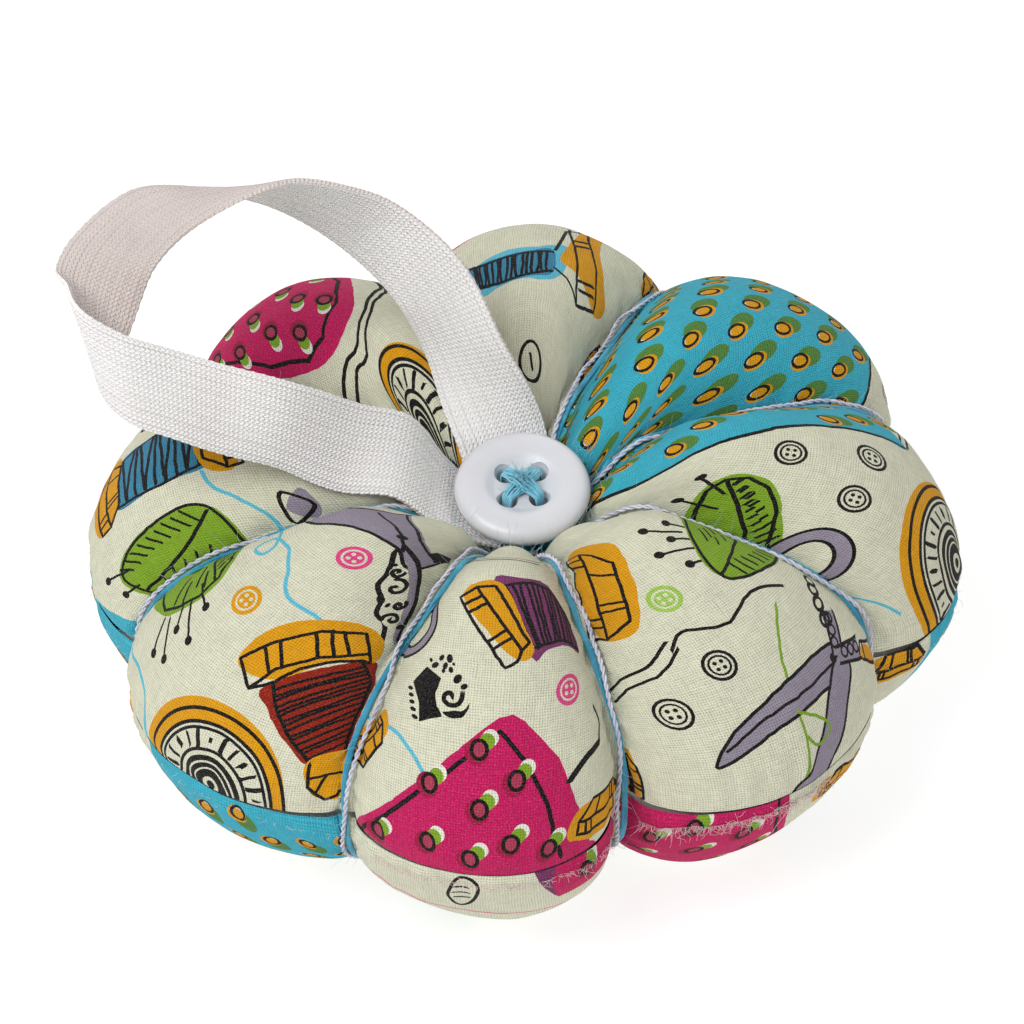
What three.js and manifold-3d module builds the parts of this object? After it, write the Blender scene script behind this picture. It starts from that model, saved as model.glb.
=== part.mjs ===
// A pumpkin-shaped pin cushion: two printed cotton covers over a stuffed core, drawn into eight lobes by wrapped
// threads, with a four-hole button and a looped elastic band sewn on top. Millimetres, +Z up, resting on z = 0.
import * as THREE from "three";
import { mergeVertices } from "three/addons/utils/BufferGeometryUtils.js";
import Module from "manifold-3d";

// The eight grooves, in order round the cushion: bearing in degrees, how far out the bottom of the groove lies, and
// where on the meridian its threads come into the open, which is further out where the band covers them.
const GROOVES = [
  { bearing: -115, reach: 43.5, open: 1.4 },
  { bearing: -73.5, reach: 38.5, open: 1.4 },
  { bearing: -21, reach: 40.5, open: 1.4 },
  { bearing: 26.5, reach: 46, open: 1.4 },
  { bearing: 68, reach: 47, open: 1.08 },
  { bearing: 107, reach: 44.5, open: 1.22 },
  { bearing: 146, reach: 43.5, open: 1.08 },
  { bearing: 197, reach: 43, open: 1.08 },
];
// How far out the lobe after each groove bulges.
const LOBE_REACH = [49.6, 46.8, 49, 53, 53.8, 50.6, 48.2, 48.9];

const SEAM_Z = 18.5;
const CREST_Z = 38;
const LOBE_RADIUS = 26;
const LOBE_FULLNESS = 0.65;
const UNDERSIDE_SAG = 2;
const UNDERSIDE_ROUNDNESS = 1.3;
const HOLE_RADIUS = 3;
const DIMPLE_DEPTH = 17;
const DIMPLE_POWER = 1.6;
const UNDERSIDE_DIMPLE = 6;
const GROOVE_TOP_Z = 31.9;
const GROOVE_BOTTOM_Z = 4.2;
const GROOVE_SQUARENESS = 3;
const GROOVE_FLOOR_HALF = 1.35;
const GROOVE_DIP = 16.5;
const GROOVE_DIP_REACH = 16;
const GROOVE_INNER_REACH = 16;

const COVER_THICKNESS = 0.5;
const SEAM_GAP = 0.012;
const FILLING_INSET = 0.9;

const FLOSS_RADIUS = 0.5;
const THREAD_RADIUS = 0.35;
const CLEARANCE = 0.32;
const UNDERSIDE_OPEN = 1.55;

const BUTTON_RADIUS = 7.5;
const BUTTON_THICKNESS = 3;
const BUTTON_TILT = 13.5;
const BUTTON_ASIDE = 0.4;
const BUTTON_TOP_Z = 31.8;
const HOLE_SPACING = 3.5;
const BUTTON_HOLE_RADIUS = 1.05;
const STITCH_RADIUS = 0.5;

const BAND_WIDTH = 10;
const BAND_THICKNESS = 0.8;
// The elastic loop, from the end sewn down at the back to the end sewn down at the left: where the middle of the
// strap runs, and which way it lies across. The strap may shear a little, as knitted elastic does.
const BAND_PATH = [
  { at: [0.4, 2.2, 27.9], across: [0.9, 0.44, 0] },
  { at: [-0.9, 6.2, 28.1], across: [0.9, 0.44, 0] },
  { at: [-2, 9.2, 31], across: [0.9, 0.3, 0.06] },
  { at: [-6, 13.8, 39.6], across: [0.83, -0.3, 0.45] },
  { at: [-9.9, 16.4, 46.9], across: [0.69, -0.14, 0.71] },
  { at: [-16, 18.4, 52.6], across: [0.56, -0.2, 0.81] },
  { at: [-21.7, 17.6, 56.9], across: [0.53, -0.4, 0.75] },
  { at: [-26.7, 16.1, 59.7], across: [0.55, -0.52, 0.65] },
  { at: [-32, 14, 61], across: [0.65, -0.64, 0.41] },
  { at: [-38.6, 11.5, 60.5], across: [0.69, -0.72, 0.04] },
  { at: [-43.7, 8.6, 57], across: [0.83, -0.54, -0.09] },
  { at: [-45.7, 5.7, 53.9], across: [0.86, -0.32, -0.39] },
  { at: [-46.1, 1.9, 52.7], across: [0.52, -0.23, -0.82] },
  { at: [-46, -1.9, 51.6], across: [0.25, -0.31, -0.92] },
  { at: [-42.3, -4.7, 50.1], across: [0.11, -0.47, -0.88] },
  { at: [-37.5, -4.7, 48], across: [0.06, -0.52, -0.85] },
  { at: [-32.3, -4.2, 45.5], across: [-0.03, -0.47, -0.88] },
  { at: [-25.8, -3.4, 42.7], across: [-0.11, -0.38, -0.92] },
  { at: [-18.4, -1.2, 37.6], across: [-0.2, -0.73, -0.65] },
  { at: [-12.8, 0.2, 35.2], across: [-0.17, -0.9, -0.4] },
  { at: [-8.6, 0.8, 29.8], across: [-0.1, -0.98, -0.12] },
  { at: [-5, 0.8, 26.8], across: [-0.05, -1, 0] },
  { at: [-2, 0.6, 26.2], across: [0, -1, 0] },
];

const COLOURS = {
  cotton: 0xeee9cf,
  filling: 0xf7f5f0,
  floss: 0x2f9fb8,
  thread: 0xe9edf2,
  button: 0xfafafa,
  elastic: 0xf3eef0,
};

const degrees = THREE.MathUtils.degToRad;
const mix = THREE.MathUtils.lerp;
const cushion = new THREE.Group();
cushion.name = "pin_cushion";

function add(name, geometry, colour, roughness) {
  const material = new THREE.MeshStandardMaterial({
    color: COLOURS[colour],
    roughness,
    metalness: 0,
  });
  material.name = colour;
  const mesh = new THREE.Mesh(geometry, material);
  mesh.name = name;
  cushion.add(mesh);
  return mesh;
}

function geometryOf(points, faces) {
  const geometry = new THREE.BufferGeometry();
  geometry.setAttribute(
    "position",
    new THREE.Float32BufferAttribute(points.flat(), 3),
  );
  geometry.setIndex(faces.flat());
  return geometry;
}

// ---- the lobed body -------------------------------------------------------------------------------------------
// "way" runs along a meridian: 2 at the top hole, 1 on the crest, 0 on the seam, -1 underneath, -2 at the bottom hole.

function crestPoint(reach, way, inset) {
  const centre = reach - LOBE_RADIUS;
  const side = Math.sign(way);
  if (Math.abs(way) <= 1) {
    const angle = (Math.abs(way) * Math.PI) / 2;
    const rise = side > 0 ? CREST_Z - SEAM_Z : SEAM_Z + UNDERSIDE_SAG;
    const power = side > 0 ? 1 : UNDERSIDE_ROUNDNESS;
    const z = SEAM_Z + side * (rise - inset) * Math.sin(angle) ** power;
    return [centre + (LOBE_RADIUS - inset) * Math.cos(angle), z];
  }
  const inward = Math.sin(((Math.abs(way) - 1) * Math.PI) / 2);
  const r = mix(centre, HOLE_RADIUS, inward);
  const fall = inward ** DIMPLE_POWER;
  if (side > 0) return [r, CREST_Z - inset - DIMPLE_DEPTH * fall];
  return [r, UNDERSIDE_DIMPLE * fall - UNDERSIDE_SAG + inset];
}

function groovePoint(reach, way, inset) {
  const outer = reach - inset;
  const out = Math.abs(way);
  const inward = out > 1 ? Math.sin(((out - 1) * Math.PI) / 2) : 0;
  const edgeAngle = Math.acos((GROOVE_INNER_REACH / reach) ** 1.5);
  const angle = Math.min(out, 1) * edgeAngle;
  const power = 2 / GROOVE_SQUARENESS;
  const r =
    out > 1
      ? mix(GROOVE_INNER_REACH, HOLE_RADIUS, inward)
      : outer * Math.cos(angle) ** power;
  const share = (1 - (r / outer) ** GROOVE_SQUARENESS) ** (power / 2);
  const dip = Math.max(0, 1 - r / GROOVE_DIP_REACH) ** DIMPLE_POWER;
  if (way >= 0)
    return [
      r,
      SEAM_Z + (GROOVE_TOP_Z - SEAM_Z - inset) * share - GROOVE_DIP * dip,
    ];
  const z = SEAM_Z - (SEAM_Z - GROOVE_BOTTOM_Z - inset) * share;
  return [r, z + dip * 3];
}

const LOBE_COLUMNS = [-1, -0.84, -0.5, 0, 0.5, 0.84, 1];

function columnPoint(lobe, across, way, inset) {
  const next = (lobe + 1) % GROOVES.length;
  const from = GROOVES[lobe];
  const to = GROOVES[next];
  const turn = to.bearing > from.bearing ? 0 : 360;
  const share = (across + 1) / 2;
  const [grooveR, grooveZ] = groovePoint(
    mix(from.reach, to.reach, share),
    way,
    inset,
  );
  const [crestR, crestZ] = crestPoint(LOBE_REACH[lobe], way, inset);
  const bulge = (1 - across * across) ** LOBE_FULLNESS;
  const r = mix(grooveR, crestR, bulge);
  const z = mix(grooveZ, crestZ, bulge);
  const middle = (from.bearing + to.bearing + turn) / 2;
  const half = (to.bearing + turn - from.bearing) / 2;
  const floor = Math.atan2(GROOVE_FLOOR_HALF + inset, grooveR);
  const bearing = degrees(middle) + across * (degrees(half) - floor);
  return [r * Math.cos(bearing), r * Math.sin(bearing), Math.max(z, inset)];
}

// A closed ring round the axis: each row is a place on the meridian and a depth under the outer surface.
function lobedRing(rows) {
  const columns = GROOVES.length * LOBE_COLUMNS.length;
  const points = rows.flatMap(({ way, inset }) =>
    GROOVES.flatMap((_, lobe) =>
      LOBE_COLUMNS.map((across) => columnPoint(lobe, across, way, inset)),
    ),
  );
  const faces = [];
  rows.forEach((_, row) => {
    const below = ((row + 1) % rows.length) * columns;
    for (let column = 0; column < columns; column += 1) {
      const a = row * columns + column;
      const b = row * columns + ((column + 1) % columns);
      const c = below + column;
      const d = below + ((column + 1) % columns);
      faces.push([a, c, b], [b, c, d]);
    }
  });
  return geometryOf(points, faces);
}

const TOP_WAYS = [2, 1.75, 1.55, 1.4, 1.22, 1.08, 0.92, 0.7, 0.5, 0.32, 0.16];
const topRows = [...TOP_WAYS, SEAM_GAP];
const bottomRows = topRows.map((way) => -way).reverse();
const shellRows = (ways) => [
  ...ways.map((way) => ({ way, inset: 0 })),
  ...[...ways].reverse().map((way) => ({ way, inset: COVER_THICKNESS })),
];

add("upper_cover", lobedRing(shellRows(topRows)), "cotton", 0.9);
add("lower_cover", lobedRing(shellRows(bottomRows)), "cotton", 0.9);
const fillingWays = [...TOP_WAYS, 0, ...TOP_WAYS.map((way) => -way).reverse()];
add(
  "stuffing",
  lobedRing(fillingWays.map((way) => ({ way, inset: FILLING_INSET }))),
  "filling",
  1,
);

// ---- threads ----------------------------------------------------------------------------------------------------

// A closed solid swept through rings of points, capped at both ends.
function loft(rings) {
  const sides = rings[0].length;
  const points = rings.flat();
  const faces = [];
  for (let ring = 0; ring + 1 < rings.length; ring += 1)
    for (let side = 0; side < sides; side += 1) {
      const a = ring * sides + side;
      const b = ring * sides + ((side + 1) % sides);
      faces.push([a, b, a + sides], [b, b + sides, a + sides]);
    }
  const last = (rings.length - 1) * sides;
  for (let side = 1; side + 1 < sides; side += 1) {
    faces.push([0, side + 1, side]);
    faces.push([last, last + side, last + side + 1]);
  }
  return geometryOf(points, faces);
}

function tube(path, radius, sides) {
  const at = path.map((point) => new THREE.Vector3(...point));
  const rings = at.map((point, i) => {
    const before = at[Math.max(i - 1, 0)];
    const after = at[Math.min(i + 1, at.length - 1)];
    const along = after.clone().sub(before).normalize();
    const reference = new THREE.Vector3(-point.y, point.x, 0.01).normalize();
    const out = reference.clone().cross(along).normalize();
    const across = along.clone().cross(out).normalize();
    return Array.from({ length: sides }, (_, side) => {
      const angle = (side * 2 * Math.PI) / sides;
      return point
        .clone()
        .addScaledVector(out, radius * Math.cos(angle))
        .addScaledVector(across, radius * Math.sin(angle))
        .toArray();
    });
  });
  return loft(rings);
}

// A line along the floor of a groove, held clear of it by "lift" and set to one side of its middle.
function grooveLine(groove, lift, aside) {
  const over = TOP_WAYS.filter((way) => way <= groove.open);
  const under = TOP_WAYS.filter((way) => way <= UNDERSIDE_OPEN);
  const ways = [...over, 0, ...under.map((way) => -way).reverse()];
  const profile = ways.map((way) => groovePoint(groove.reach, way, 0));
  const bearing = degrees(groove.bearing);
  return profile.map(([r, z], i) => {
    const [r0, z0] = profile[Math.max(i - 1, 0)];
    const [r1, z1] = profile[Math.min(i + 1, profile.length - 1)];
    const length = Math.hypot(r1 - r0, z1 - z0);
    const out = r - (lift * (z1 - z0)) / length;
    const up = z + (lift * (r1 - r0)) / length;
    return [
      out * Math.cos(bearing) - aside * Math.sin(bearing),
      out * Math.sin(bearing) + aside * Math.cos(bearing),
      up,
    ];
  });
}

GROOVES.forEach((groove, i) => {
  const floss = grooveLine(groove, FLOSS_RADIUS + CLEARANCE, -0.45);
  add(`floss_wrap_${i + 1}`, tube(floss, FLOSS_RADIUS, 6), "floss", 0.7);
  const thread = grooveLine(groove, THREAD_RADIUS + CLEARANCE, 0.85);
  add(`thread_wrap_${i + 1}`, tube(thread, THREAD_RADIUS, 5), "thread", 0.7);
});

function standingThread(radius, low, high) {
  const profile = [
    [0, low],
    [radius, low],
    [radius, high],
    [0, high],
  ];
  const geometry = new THREE.LatheGeometry(
    profile.map(([r, z]) => new THREE.Vector2(r, z)),
    12,
  );
  return geometry.rotateX(Math.PI / 2);
}

add("centre_tie", standingThread(1.5, 3.6, 24), "floss", 0.7);
const knot = new THREE.SphereGeometry(2.1, 12, 8);
knot.scale(1, 1, 0.55);
add("base_knot", knot.translate(0, 0, 2), "floss", 0.7);

// ---- button -------------------------------------------------------------------------------------------------------

const wasm = await Module();
wasm.setup();

function solidOf(geometry) {
  const bare = geometry.clone();
  bare.deleteAttribute("normal");
  bare.deleteAttribute("uv");
  const merged = mergeVertices(bare, 1e-4);
  return new wasm.Manifold(
    new wasm.Mesh({
      numProp: 3,
      vertProperties: merged.attributes.position.array,
      triVerts: new Uint32Array(merged.index.array),
    }),
  );
}

function geometryFrom(solid) {
  const mesh = solid.getMesh();
  const geometry = new THREE.BufferGeometry();
  geometry.setAttribute(
    "position",
    new THREE.BufferAttribute(mesh.vertProperties, 3),
  );
  geometry.setIndex(new THREE.BufferAttribute(mesh.triVerts, 1));
  return geometry;
}

// The button's half section, from the middle of its back out to the rim and in across the dished face.
const BUTTON_SECTION = [
  [0, 0],
  [5.6, 0],
  [6.6, 0.35],
  [7.25, 1],
  [BUTTON_RADIUS, 1.7],
  [7.2, 2.5],
  [6.5, 2.95],
  [5.6, BUTTON_THICKNESS],
  [4.6, 2.75],
  [3.9, 2.2],
  [3.2, 2],
  [0, 2],
];
const HOLE_TURN = degrees(51);
const HOLE_PLACES = [0, 1, 2, 3].map((i) => {
  const angle = HOLE_TURN + (i * Math.PI) / 2;
  const r = HOLE_SPACING / Math.SQRT2;
  return [r * Math.cos(angle), r * Math.sin(angle)];
});

const disc = new THREE.LatheGeometry(
  BUTTON_SECTION.map(([r, z]) => new THREE.Vector2(r, z)),
  40,
).rotateX(Math.PI / 2);
const drilled = HOLE_PLACES.reduce((solid, [x, y]) => {
  const drill = new THREE.CylinderGeometry(
    BUTTON_HOLE_RADIUS,
    BUTTON_HOLE_RADIUS,
    4 * BUTTON_THICKNESS,
    16,
  ).rotateX(Math.PI / 2);
  return solid.subtract(solidOf(drill.translate(x, y, 0)));
}, solidOf(disc));

// Everything on the button leans with it.
function onButton(geometry) {
  return geometry
    .translate(0, 0, -BUTTON_THICKNESS)
    .rotateX(degrees(BUTTON_TILT))
    .translate(BUTTON_ASIDE, 0, BUTTON_TOP_Z);
}
add("top_button", onButton(geometryFrom(drilled)), "button", 0.25);

// A stitch up through one hole, over the face and down through the hole across from it.
function stitch([x, y], height) {
  const level = 2 + STITCH_RADIUS + height;
  const legs = [
    [1, -0.1],
    [1, 1.6],
    [0.85, level - 0.15],
    [0.4, level],
  ];
  const path = [
    ...legs.map(([share, z]) => [x * share, y * share, z]),
    ...legs.reverse().map(([share, z]) => [-x * share, -y * share, z]),
  ];
  const line = new THREE.CatmullRomCurve3(
    path.map((point) => new THREE.Vector3(...point)),
  );
  const across = new THREE.Vector3(-y, x, 0).normalize();
  const rings = line.getSpacedPoints(18).map((point, i) => {
    const along = line.getTangentAt(i / 18);
    const out = across.clone().cross(along);
    return Array.from({ length: 6 }, (_, side) => {
      const angle = (side * Math.PI) / 3;
      return point
        .clone()
        .addScaledVector(out, STITCH_RADIUS * Math.cos(angle))
        .addScaledVector(across, STITCH_RADIUS * Math.sin(angle))
        .toArray();
    });
  });
  return loft(rings);
}
add("button_stitch_1", onButton(stitch(HOLE_PLACES[0], 0.35)), "floss", 0.7);
add("button_stitch_2", onButton(stitch(HOLE_PLACES[1], 1.7)), "floss", 0.7);

// ---- elastic band ---------------------------------------------------------------------------------------------------

const bandLine = new THREE.CatmullRomCurve3(
  BAND_PATH.map(({ at }) => new THREE.Vector3(...at)),
);
const bandAcross = new THREE.CatmullRomCurve3(
  BAND_PATH.map(({ across }) => new THREE.Vector3(...across)),
);

// A length of strap between two shares of the path.
function strap(from, to, steps) {
  const rings = Array.from({ length: steps + 1 }, (_, i) => {
    const share = mix(from, to, i / steps);
    const point = bandLine.getPoint(share);
    const along = bandLine.getTangent(share);
    const across = bandAcross.getPoint(share).normalize();
    const face = across.clone().cross(along).normalize();
    const corners = [
      [-0.5, -0.5],
      [0.5, -0.5],
      [0.5, 0.5],
      [-0.5, 0.5],
    ];
    return corners.map(([u, v]) =>
      point
        .clone()
        .addScaledVector(across, -u * BAND_WIDTH)
        .addScaledVector(face, v * BAND_THICKNESS)
        .toArray(),
    );
  });
  return loft(rings);
}

const BAND_GAP = 0.0015;
const BAND_PIECES = [
  { name: "band_end_1", from: 0, to: 0.0545, steps: 3 },
  { name: "band_root_1", from: 0.0545, to: 0.16, steps: 6 },
  { name: "band_leg_1", from: 0.16, to: 0.395, steps: 10 },
  { name: "band_bow", from: 0.395, to: 0.66, steps: 22 },
  { name: "band_leg_2", from: 0.66, to: 0.855, steps: 8 },
  { name: "band_root_2", from: 0.855, to: 0.945, steps: 5 },
  { name: "band_end_2", from: 0.945, to: 1, steps: 3 },
];
BAND_PIECES.forEach(({ name, from, to, steps }) => {
  const geometry = strap(from + BAND_GAP, to - BAND_GAP, steps);
  add(name, geometry, "elastic", 0.8);
});

// The frame stands under the middle of the whole outline; the tie and button are a little off it.
const outline = new THREE.Box3().setFromObject(cushion);
const middle = outline.getCenter(new THREE.Vector3());
cushion.position.set(-middle.x, -middle.y, -outline.min.z);

export default cushion;
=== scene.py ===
"""The looks of a wrapped pumpkin pin cushion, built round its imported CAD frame.

Lengths are in millimetres until a mesh is made. "Way" runs along a lobe's meridian: 2 at the top hole,
1 on the crest, 0 on the seam, -1 underneath and -2 at the bottom hole."""

import math

import bpy
import numpy as np
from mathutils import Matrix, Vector, noise
from mathutils.geometry import delaunay_2d_cdt


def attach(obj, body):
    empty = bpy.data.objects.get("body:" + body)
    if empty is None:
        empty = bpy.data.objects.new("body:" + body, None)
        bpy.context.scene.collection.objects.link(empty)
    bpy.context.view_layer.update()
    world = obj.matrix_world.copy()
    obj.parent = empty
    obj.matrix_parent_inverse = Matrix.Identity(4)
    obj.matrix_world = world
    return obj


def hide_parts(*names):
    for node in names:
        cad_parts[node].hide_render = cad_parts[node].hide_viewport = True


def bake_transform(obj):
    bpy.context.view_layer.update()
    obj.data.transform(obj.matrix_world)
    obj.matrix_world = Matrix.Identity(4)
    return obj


MM = 0.001
TIE = np.array([0.6, -2.14, 0.0])

# Bearing of each groove in degrees, and how far out its bottom lies.
GROOVES = [
    (-115, 43.5),
    (-73.5, 38.5),
    (-21, 40.5),
    (26.5, 46),
    (68, 47),
    (107, 44.5),
    (146, 43.5),
    (197, 43),
]
LOBE_REACH = [49.6, 46.8, 49, 53, 53.8, 50.6, 48.2, 48.9]
LOBES = range(8)

SEAM_Z = 18.5
CREST_Z = 38
LOBE_RADIUS = 26
LOBE_FULLNESS = 0.65
UNDERSIDE_SAG = 2
UNDERSIDE_ROUNDNESS = 1.3
HOLE_RADIUS = 3
DIMPLE_DEPTH = 17
DIMPLE_POWER = 1.6
UNDERSIDE_DIMPLE = 6
GROOVE_TOP_Z = 31.9
GROOVE_BOTTOM_Z = 4.2
GROOVE_SQUARENESS = 3
GROOVE_FLOOR_HALF = 0.9
GROOVE_DIP = 16.5
UNDERSIDE_GROOVE_DIP = 3
GROOVE_INNER_REACH = 16

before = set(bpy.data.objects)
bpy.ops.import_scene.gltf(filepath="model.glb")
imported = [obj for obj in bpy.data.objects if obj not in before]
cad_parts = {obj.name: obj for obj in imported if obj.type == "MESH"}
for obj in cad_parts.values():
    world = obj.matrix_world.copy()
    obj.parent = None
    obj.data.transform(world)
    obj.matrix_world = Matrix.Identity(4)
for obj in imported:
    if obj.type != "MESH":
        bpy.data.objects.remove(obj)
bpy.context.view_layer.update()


# ---- the lobed body ------------------------------------------------------------------------------


def mix(a, b, share):
    return a + (b - a) * share


def unit(v):
    return v / np.maximum(np.linalg.norm(v, axis=-1, keepdims=True), 1e-9)


def run_length(points):
    """How far along a path each of its points lies."""
    return np.concatenate([[0], np.cumsum(np.linalg.norm(np.diff(points, axis=0), axis=-1))])


def crest_profile(reach, way):
    """Radius and height along the top of a lobe, for an array of ways."""
    centre = reach - LOBE_RADIUS
    angle = np.minimum(np.abs(way), 1) * math.pi / 2
    rise = (CREST_Z - SEAM_Z) * np.sin(angle)
    drop = (SEAM_Z + UNDERSIDE_SAG) * np.sin(angle) ** UNDERSIDE_ROUNDNESS
    inward = np.sin(np.clip(np.abs(way) - 1, 0, 1) * math.pi / 2)
    fall = inward**DIMPLE_POWER
    r = mix(centre, HOLE_RADIUS, inward) + LOBE_RADIUS * np.cos(angle)
    over = SEAM_Z + rise - DIMPLE_DEPTH * fall
    under = SEAM_Z - drop + UNDERSIDE_DIMPLE * fall
    return r, np.where(way >= 0, over, under)


def groove_profile(reach, way):
    """Radius and height along the floor of a groove, for arrays of reach and way."""
    out = np.abs(way)
    inward = np.sin(np.clip(out - 1, 0, 1) * math.pi / 2)
    edge = np.arccos((GROOVE_INNER_REACH / reach) ** 1.5)
    power = 2 / GROOVE_SQUARENESS
    open_r = reach * np.cos(np.minimum(out, 1) * edge) ** power
    r = np.where(out > 1, mix(GROOVE_INNER_REACH, HOLE_RADIUS, inward), open_r)
    share = np.clip(1 - (r / reach) ** GROOVE_SQUARENESS, 0, 1) ** (power / 2)
    dip = np.clip(1 - r / GROOVE_INNER_REACH, 0, 1) ** DIMPLE_POWER
    over = SEAM_Z + (GROOVE_TOP_Z - SEAM_Z) * share - GROOVE_DIP * dip
    under = SEAM_Z - (SEAM_Z - GROOVE_BOTTOM_Z) * share + UNDERSIDE_GROOVE_DIP * dip
    return r, np.where(way >= 0, over, under)


def lobe_span(lobe):
    """The bearings of a lobe's two grooves, in radians."""
    start = GROOVES[lobe][0]
    end = GROOVES[(lobe + 1) % 8][0]
    return math.radians(start), math.radians(end + (360 if end < start else 0))


def round_tie(r, z, bearing):
    """Points round the middle tie from their radius, height and bearing."""
    spot = np.stack([r * np.cos(bearing), r * np.sin(bearing), np.maximum(z, 0.02)], -1)
    return spot + TIE


def lobe_points(lobe, across, way):
    """Points on a lobe for arrays of across (-1 to 1 between its grooves) and way."""
    share = (across + 1) / 2
    reach = mix(GROOVES[lobe][1], GROOVES[(lobe + 1) % 8][1], share)
    groove_r, groove_z = groove_profile(reach, way)
    crest_r, crest_z = crest_profile(LOBE_REACH[lobe], way)
    bulge = np.clip(1 - across**2, 0, 1) ** LOBE_FULLNESS
    start, end = lobe_span(lobe)
    floor = np.arctan2(GROOVE_FLOOR_HALF, groove_r)
    bearing = (start + end) / 2 + across * ((end - start) / 2 - floor)
    return round_tie(mix(groove_r, crest_r, bulge), mix(groove_z, crest_z, bulge), bearing)


def groove_middle(groove, way):
    bearing, reach = GROOVES[groove % 8]
    r, z = groove_profile(reach, way)
    return round_tie(r, z, math.radians(bearing))


def ripple(x, y, z, scale):
    """Smooth noise about -1 to 1 that changes over the given scale."""
    return noise.noise(Vector((x / scale, y / scale, z / scale)))


COLUMNS = 72
ROWS_OVER = 84
ROWS_UNDER = 60
SEAM_EDGE = 0.004
SEAM_ROW = 2
# How far the stuffing's lumps and the gathered cloth stand out, and how wide each of them is.
LUMP = 0.32
LUMP_WIDTH = 9
SMALL_LUMP_WIDTH = 3.6
LUMP_EDGE = 6
SEAM_PUCKER = 0.975
SEAM_PUCKER_WIDTH = 1.9
SEAM_PUCKER_REACH = 3.4
GROOVE_PUCKER = 1.125
GROOVE_PUCKER_WIDTH = 2.1
GROOVE_PUCKER_REACH = 2.2
SEAM_SINK = 0.32
SEAM_SINK_REACH = 0.9
# The upper cover stands up round the button, at this way and this far either side of it.
COLLAR = 1.35
COLLAR_WAY = 1.46
COLLAR_REACH = 0.13
FILLING_INSET = 1.3
FILLING_COLUMNS = 12
FILLING_ROWS = 60
HOLE_WALL_ROWS = 8


class Panel:
    """One lobe of the upper or lower cover: its points, normals and flat cloth coordinates, row by row.

    The cloth is measured sideways from the crest line, and up or down from the seam."""

    def __init__(self, lobe, upper):
        self.lobe = lobe
        self.side = 1 if upper else -1
        rows = ROWS_OVER if upper else ROWS_UNDER
        turn = np.linspace(-math.pi / 2, math.pi / 2, COLUMNS + 1)
        across, way = np.meshgrid(np.sin(turn), self.side * np.linspace(SEAM_EDGE, 2, rows))
        base = lobe_points(lobe, across, way)
        left = groove_middle(lobe, way[:, :1])
        right = groove_middle(lobe + 1, way[:, :1])
        base = np.concatenate([left, base, right], axis=1)
        self.across = np.concatenate([across[:, :1], across, across[:, -1:]], axis=1)
        self.collar = COLLAR * np.exp(-(((way[:, :1] - COLLAR_WAY) / COLLAR_REACH) ** 2))
        self.cloth = self.laid_flat(base)
        self.points = base + self.facing(base) * self.swell(base)[..., None]
        self.points[..., 2] = np.maximum(self.points[..., 2], 0.0)
        self.normals = self.facing(self.points)

    def facing(self, points):
        turned = np.cross(np.gradient(points, axis=1), np.gradient(points, axis=0))
        return unit(turned) * self.side

    def laid_flat(self, base):
        """Flat coordinates of the cloth, measured along its rows and up its crest line."""
        middle = base.shape[1] // 2
        step = np.linalg.norm(np.diff(base, axis=1), axis=-1)
        sideways = np.concatenate([np.zeros((len(base), 1)), np.cumsum(step, axis=1)], axis=1)
        sideways -= sideways[:, middle : middle + 1]
        height = self.side * run_length(base[:, middle])
        return np.stack([sideways, np.repeat(height[:, None], base.shape[1], axis=1)], -1)

    def swell(self, base):
        """How far the stuffed cloth stands off its plain shape, with its lumps and its puckers."""
        sideways, height = self.cloth[..., 0], np.abs(self.cloth[..., 1])
        edge = np.minimum(sideways - sideways[:, :1], sideways[:, -1:] - sideways)
        out = np.zeros(height.shape)
        for i, j in np.ndindex(*out.shape):
            x, y, z = base[i, j]
            half = self.lobe + (9 if self.across[i, j] > 0 else 0)
            aside, up = edge[i, j], height[i, j]
            lumps = ripple(x, y, z, LUMP_WIDTH) + 0.4 * ripple(x, y, z, SMALL_LUMP_WIDTH)
            by_seam = ripple(sideways[i, j], 40 * self.lobe, 9 * self.side, SEAM_PUCKER_WIDTH)
            by_seam *= math.exp(-up / SEAM_PUCKER_REACH) * (1 - math.exp(-up))
            by_groove = ripple(up, 40 * half, aside * 0.5, GROOVE_PUCKER_WIDTH)
            by_groove *= math.exp(-aside / GROOVE_PUCKER_REACH) * (1 - math.exp(-aside / 0.6))
            puckers = SEAM_PUCKER * by_seam + GROOVE_PUCKER * by_groove
            out[i, j] = LUMP * lumps * min(1, aside / LUMP_EDGE) + puckers
        out -= SEAM_SINK * np.exp(-((height / SEAM_SINK_REACH) ** 2))
        out += self.collar * np.sqrt(np.clip(1 - self.across**2, 0, 1))
        out[:, 0] = 0
        out[:, -1] = 0
        return out

    def on_cloth(self, spots):
        """Points and normals where flat cloth spots lie on the stuffed lobe."""
        heights = self.side * self.cloth[:, COLUMNS // 2 + 1, 1]
        row = np.interp(self.side * spots[:, 1], heights, np.arange(len(heights)))
        below = np.clip(row.astype(int), 0, len(heights) - 2)
        points = np.zeros((len(spots), 3))
        normals = np.zeros((len(spots), 3))
        for k in np.unique(below):
            chosen = below == k
            above_share = (row - below)[chosen][:, None]
            for line, weight in ((k, 1 - above_share), (k + 1, above_share)):
                column = np.interp(spots[chosen, 0], self.cloth[line, :, 0], np.arange(COLUMNS + 3))
                left = np.clip(column.astype(int), 0, COLUMNS + 1)
                share = (column - left)[:, None]
                for found, known in ((points, self.points[line]), (normals, self.normals[line])):
                    found[chosen] += weight * mix(known[left], known[left + 1], share)
        return points, unit(normals)


def link(obj):
    bpy.context.scene.collection.objects.link(obj)
    return obj


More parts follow.
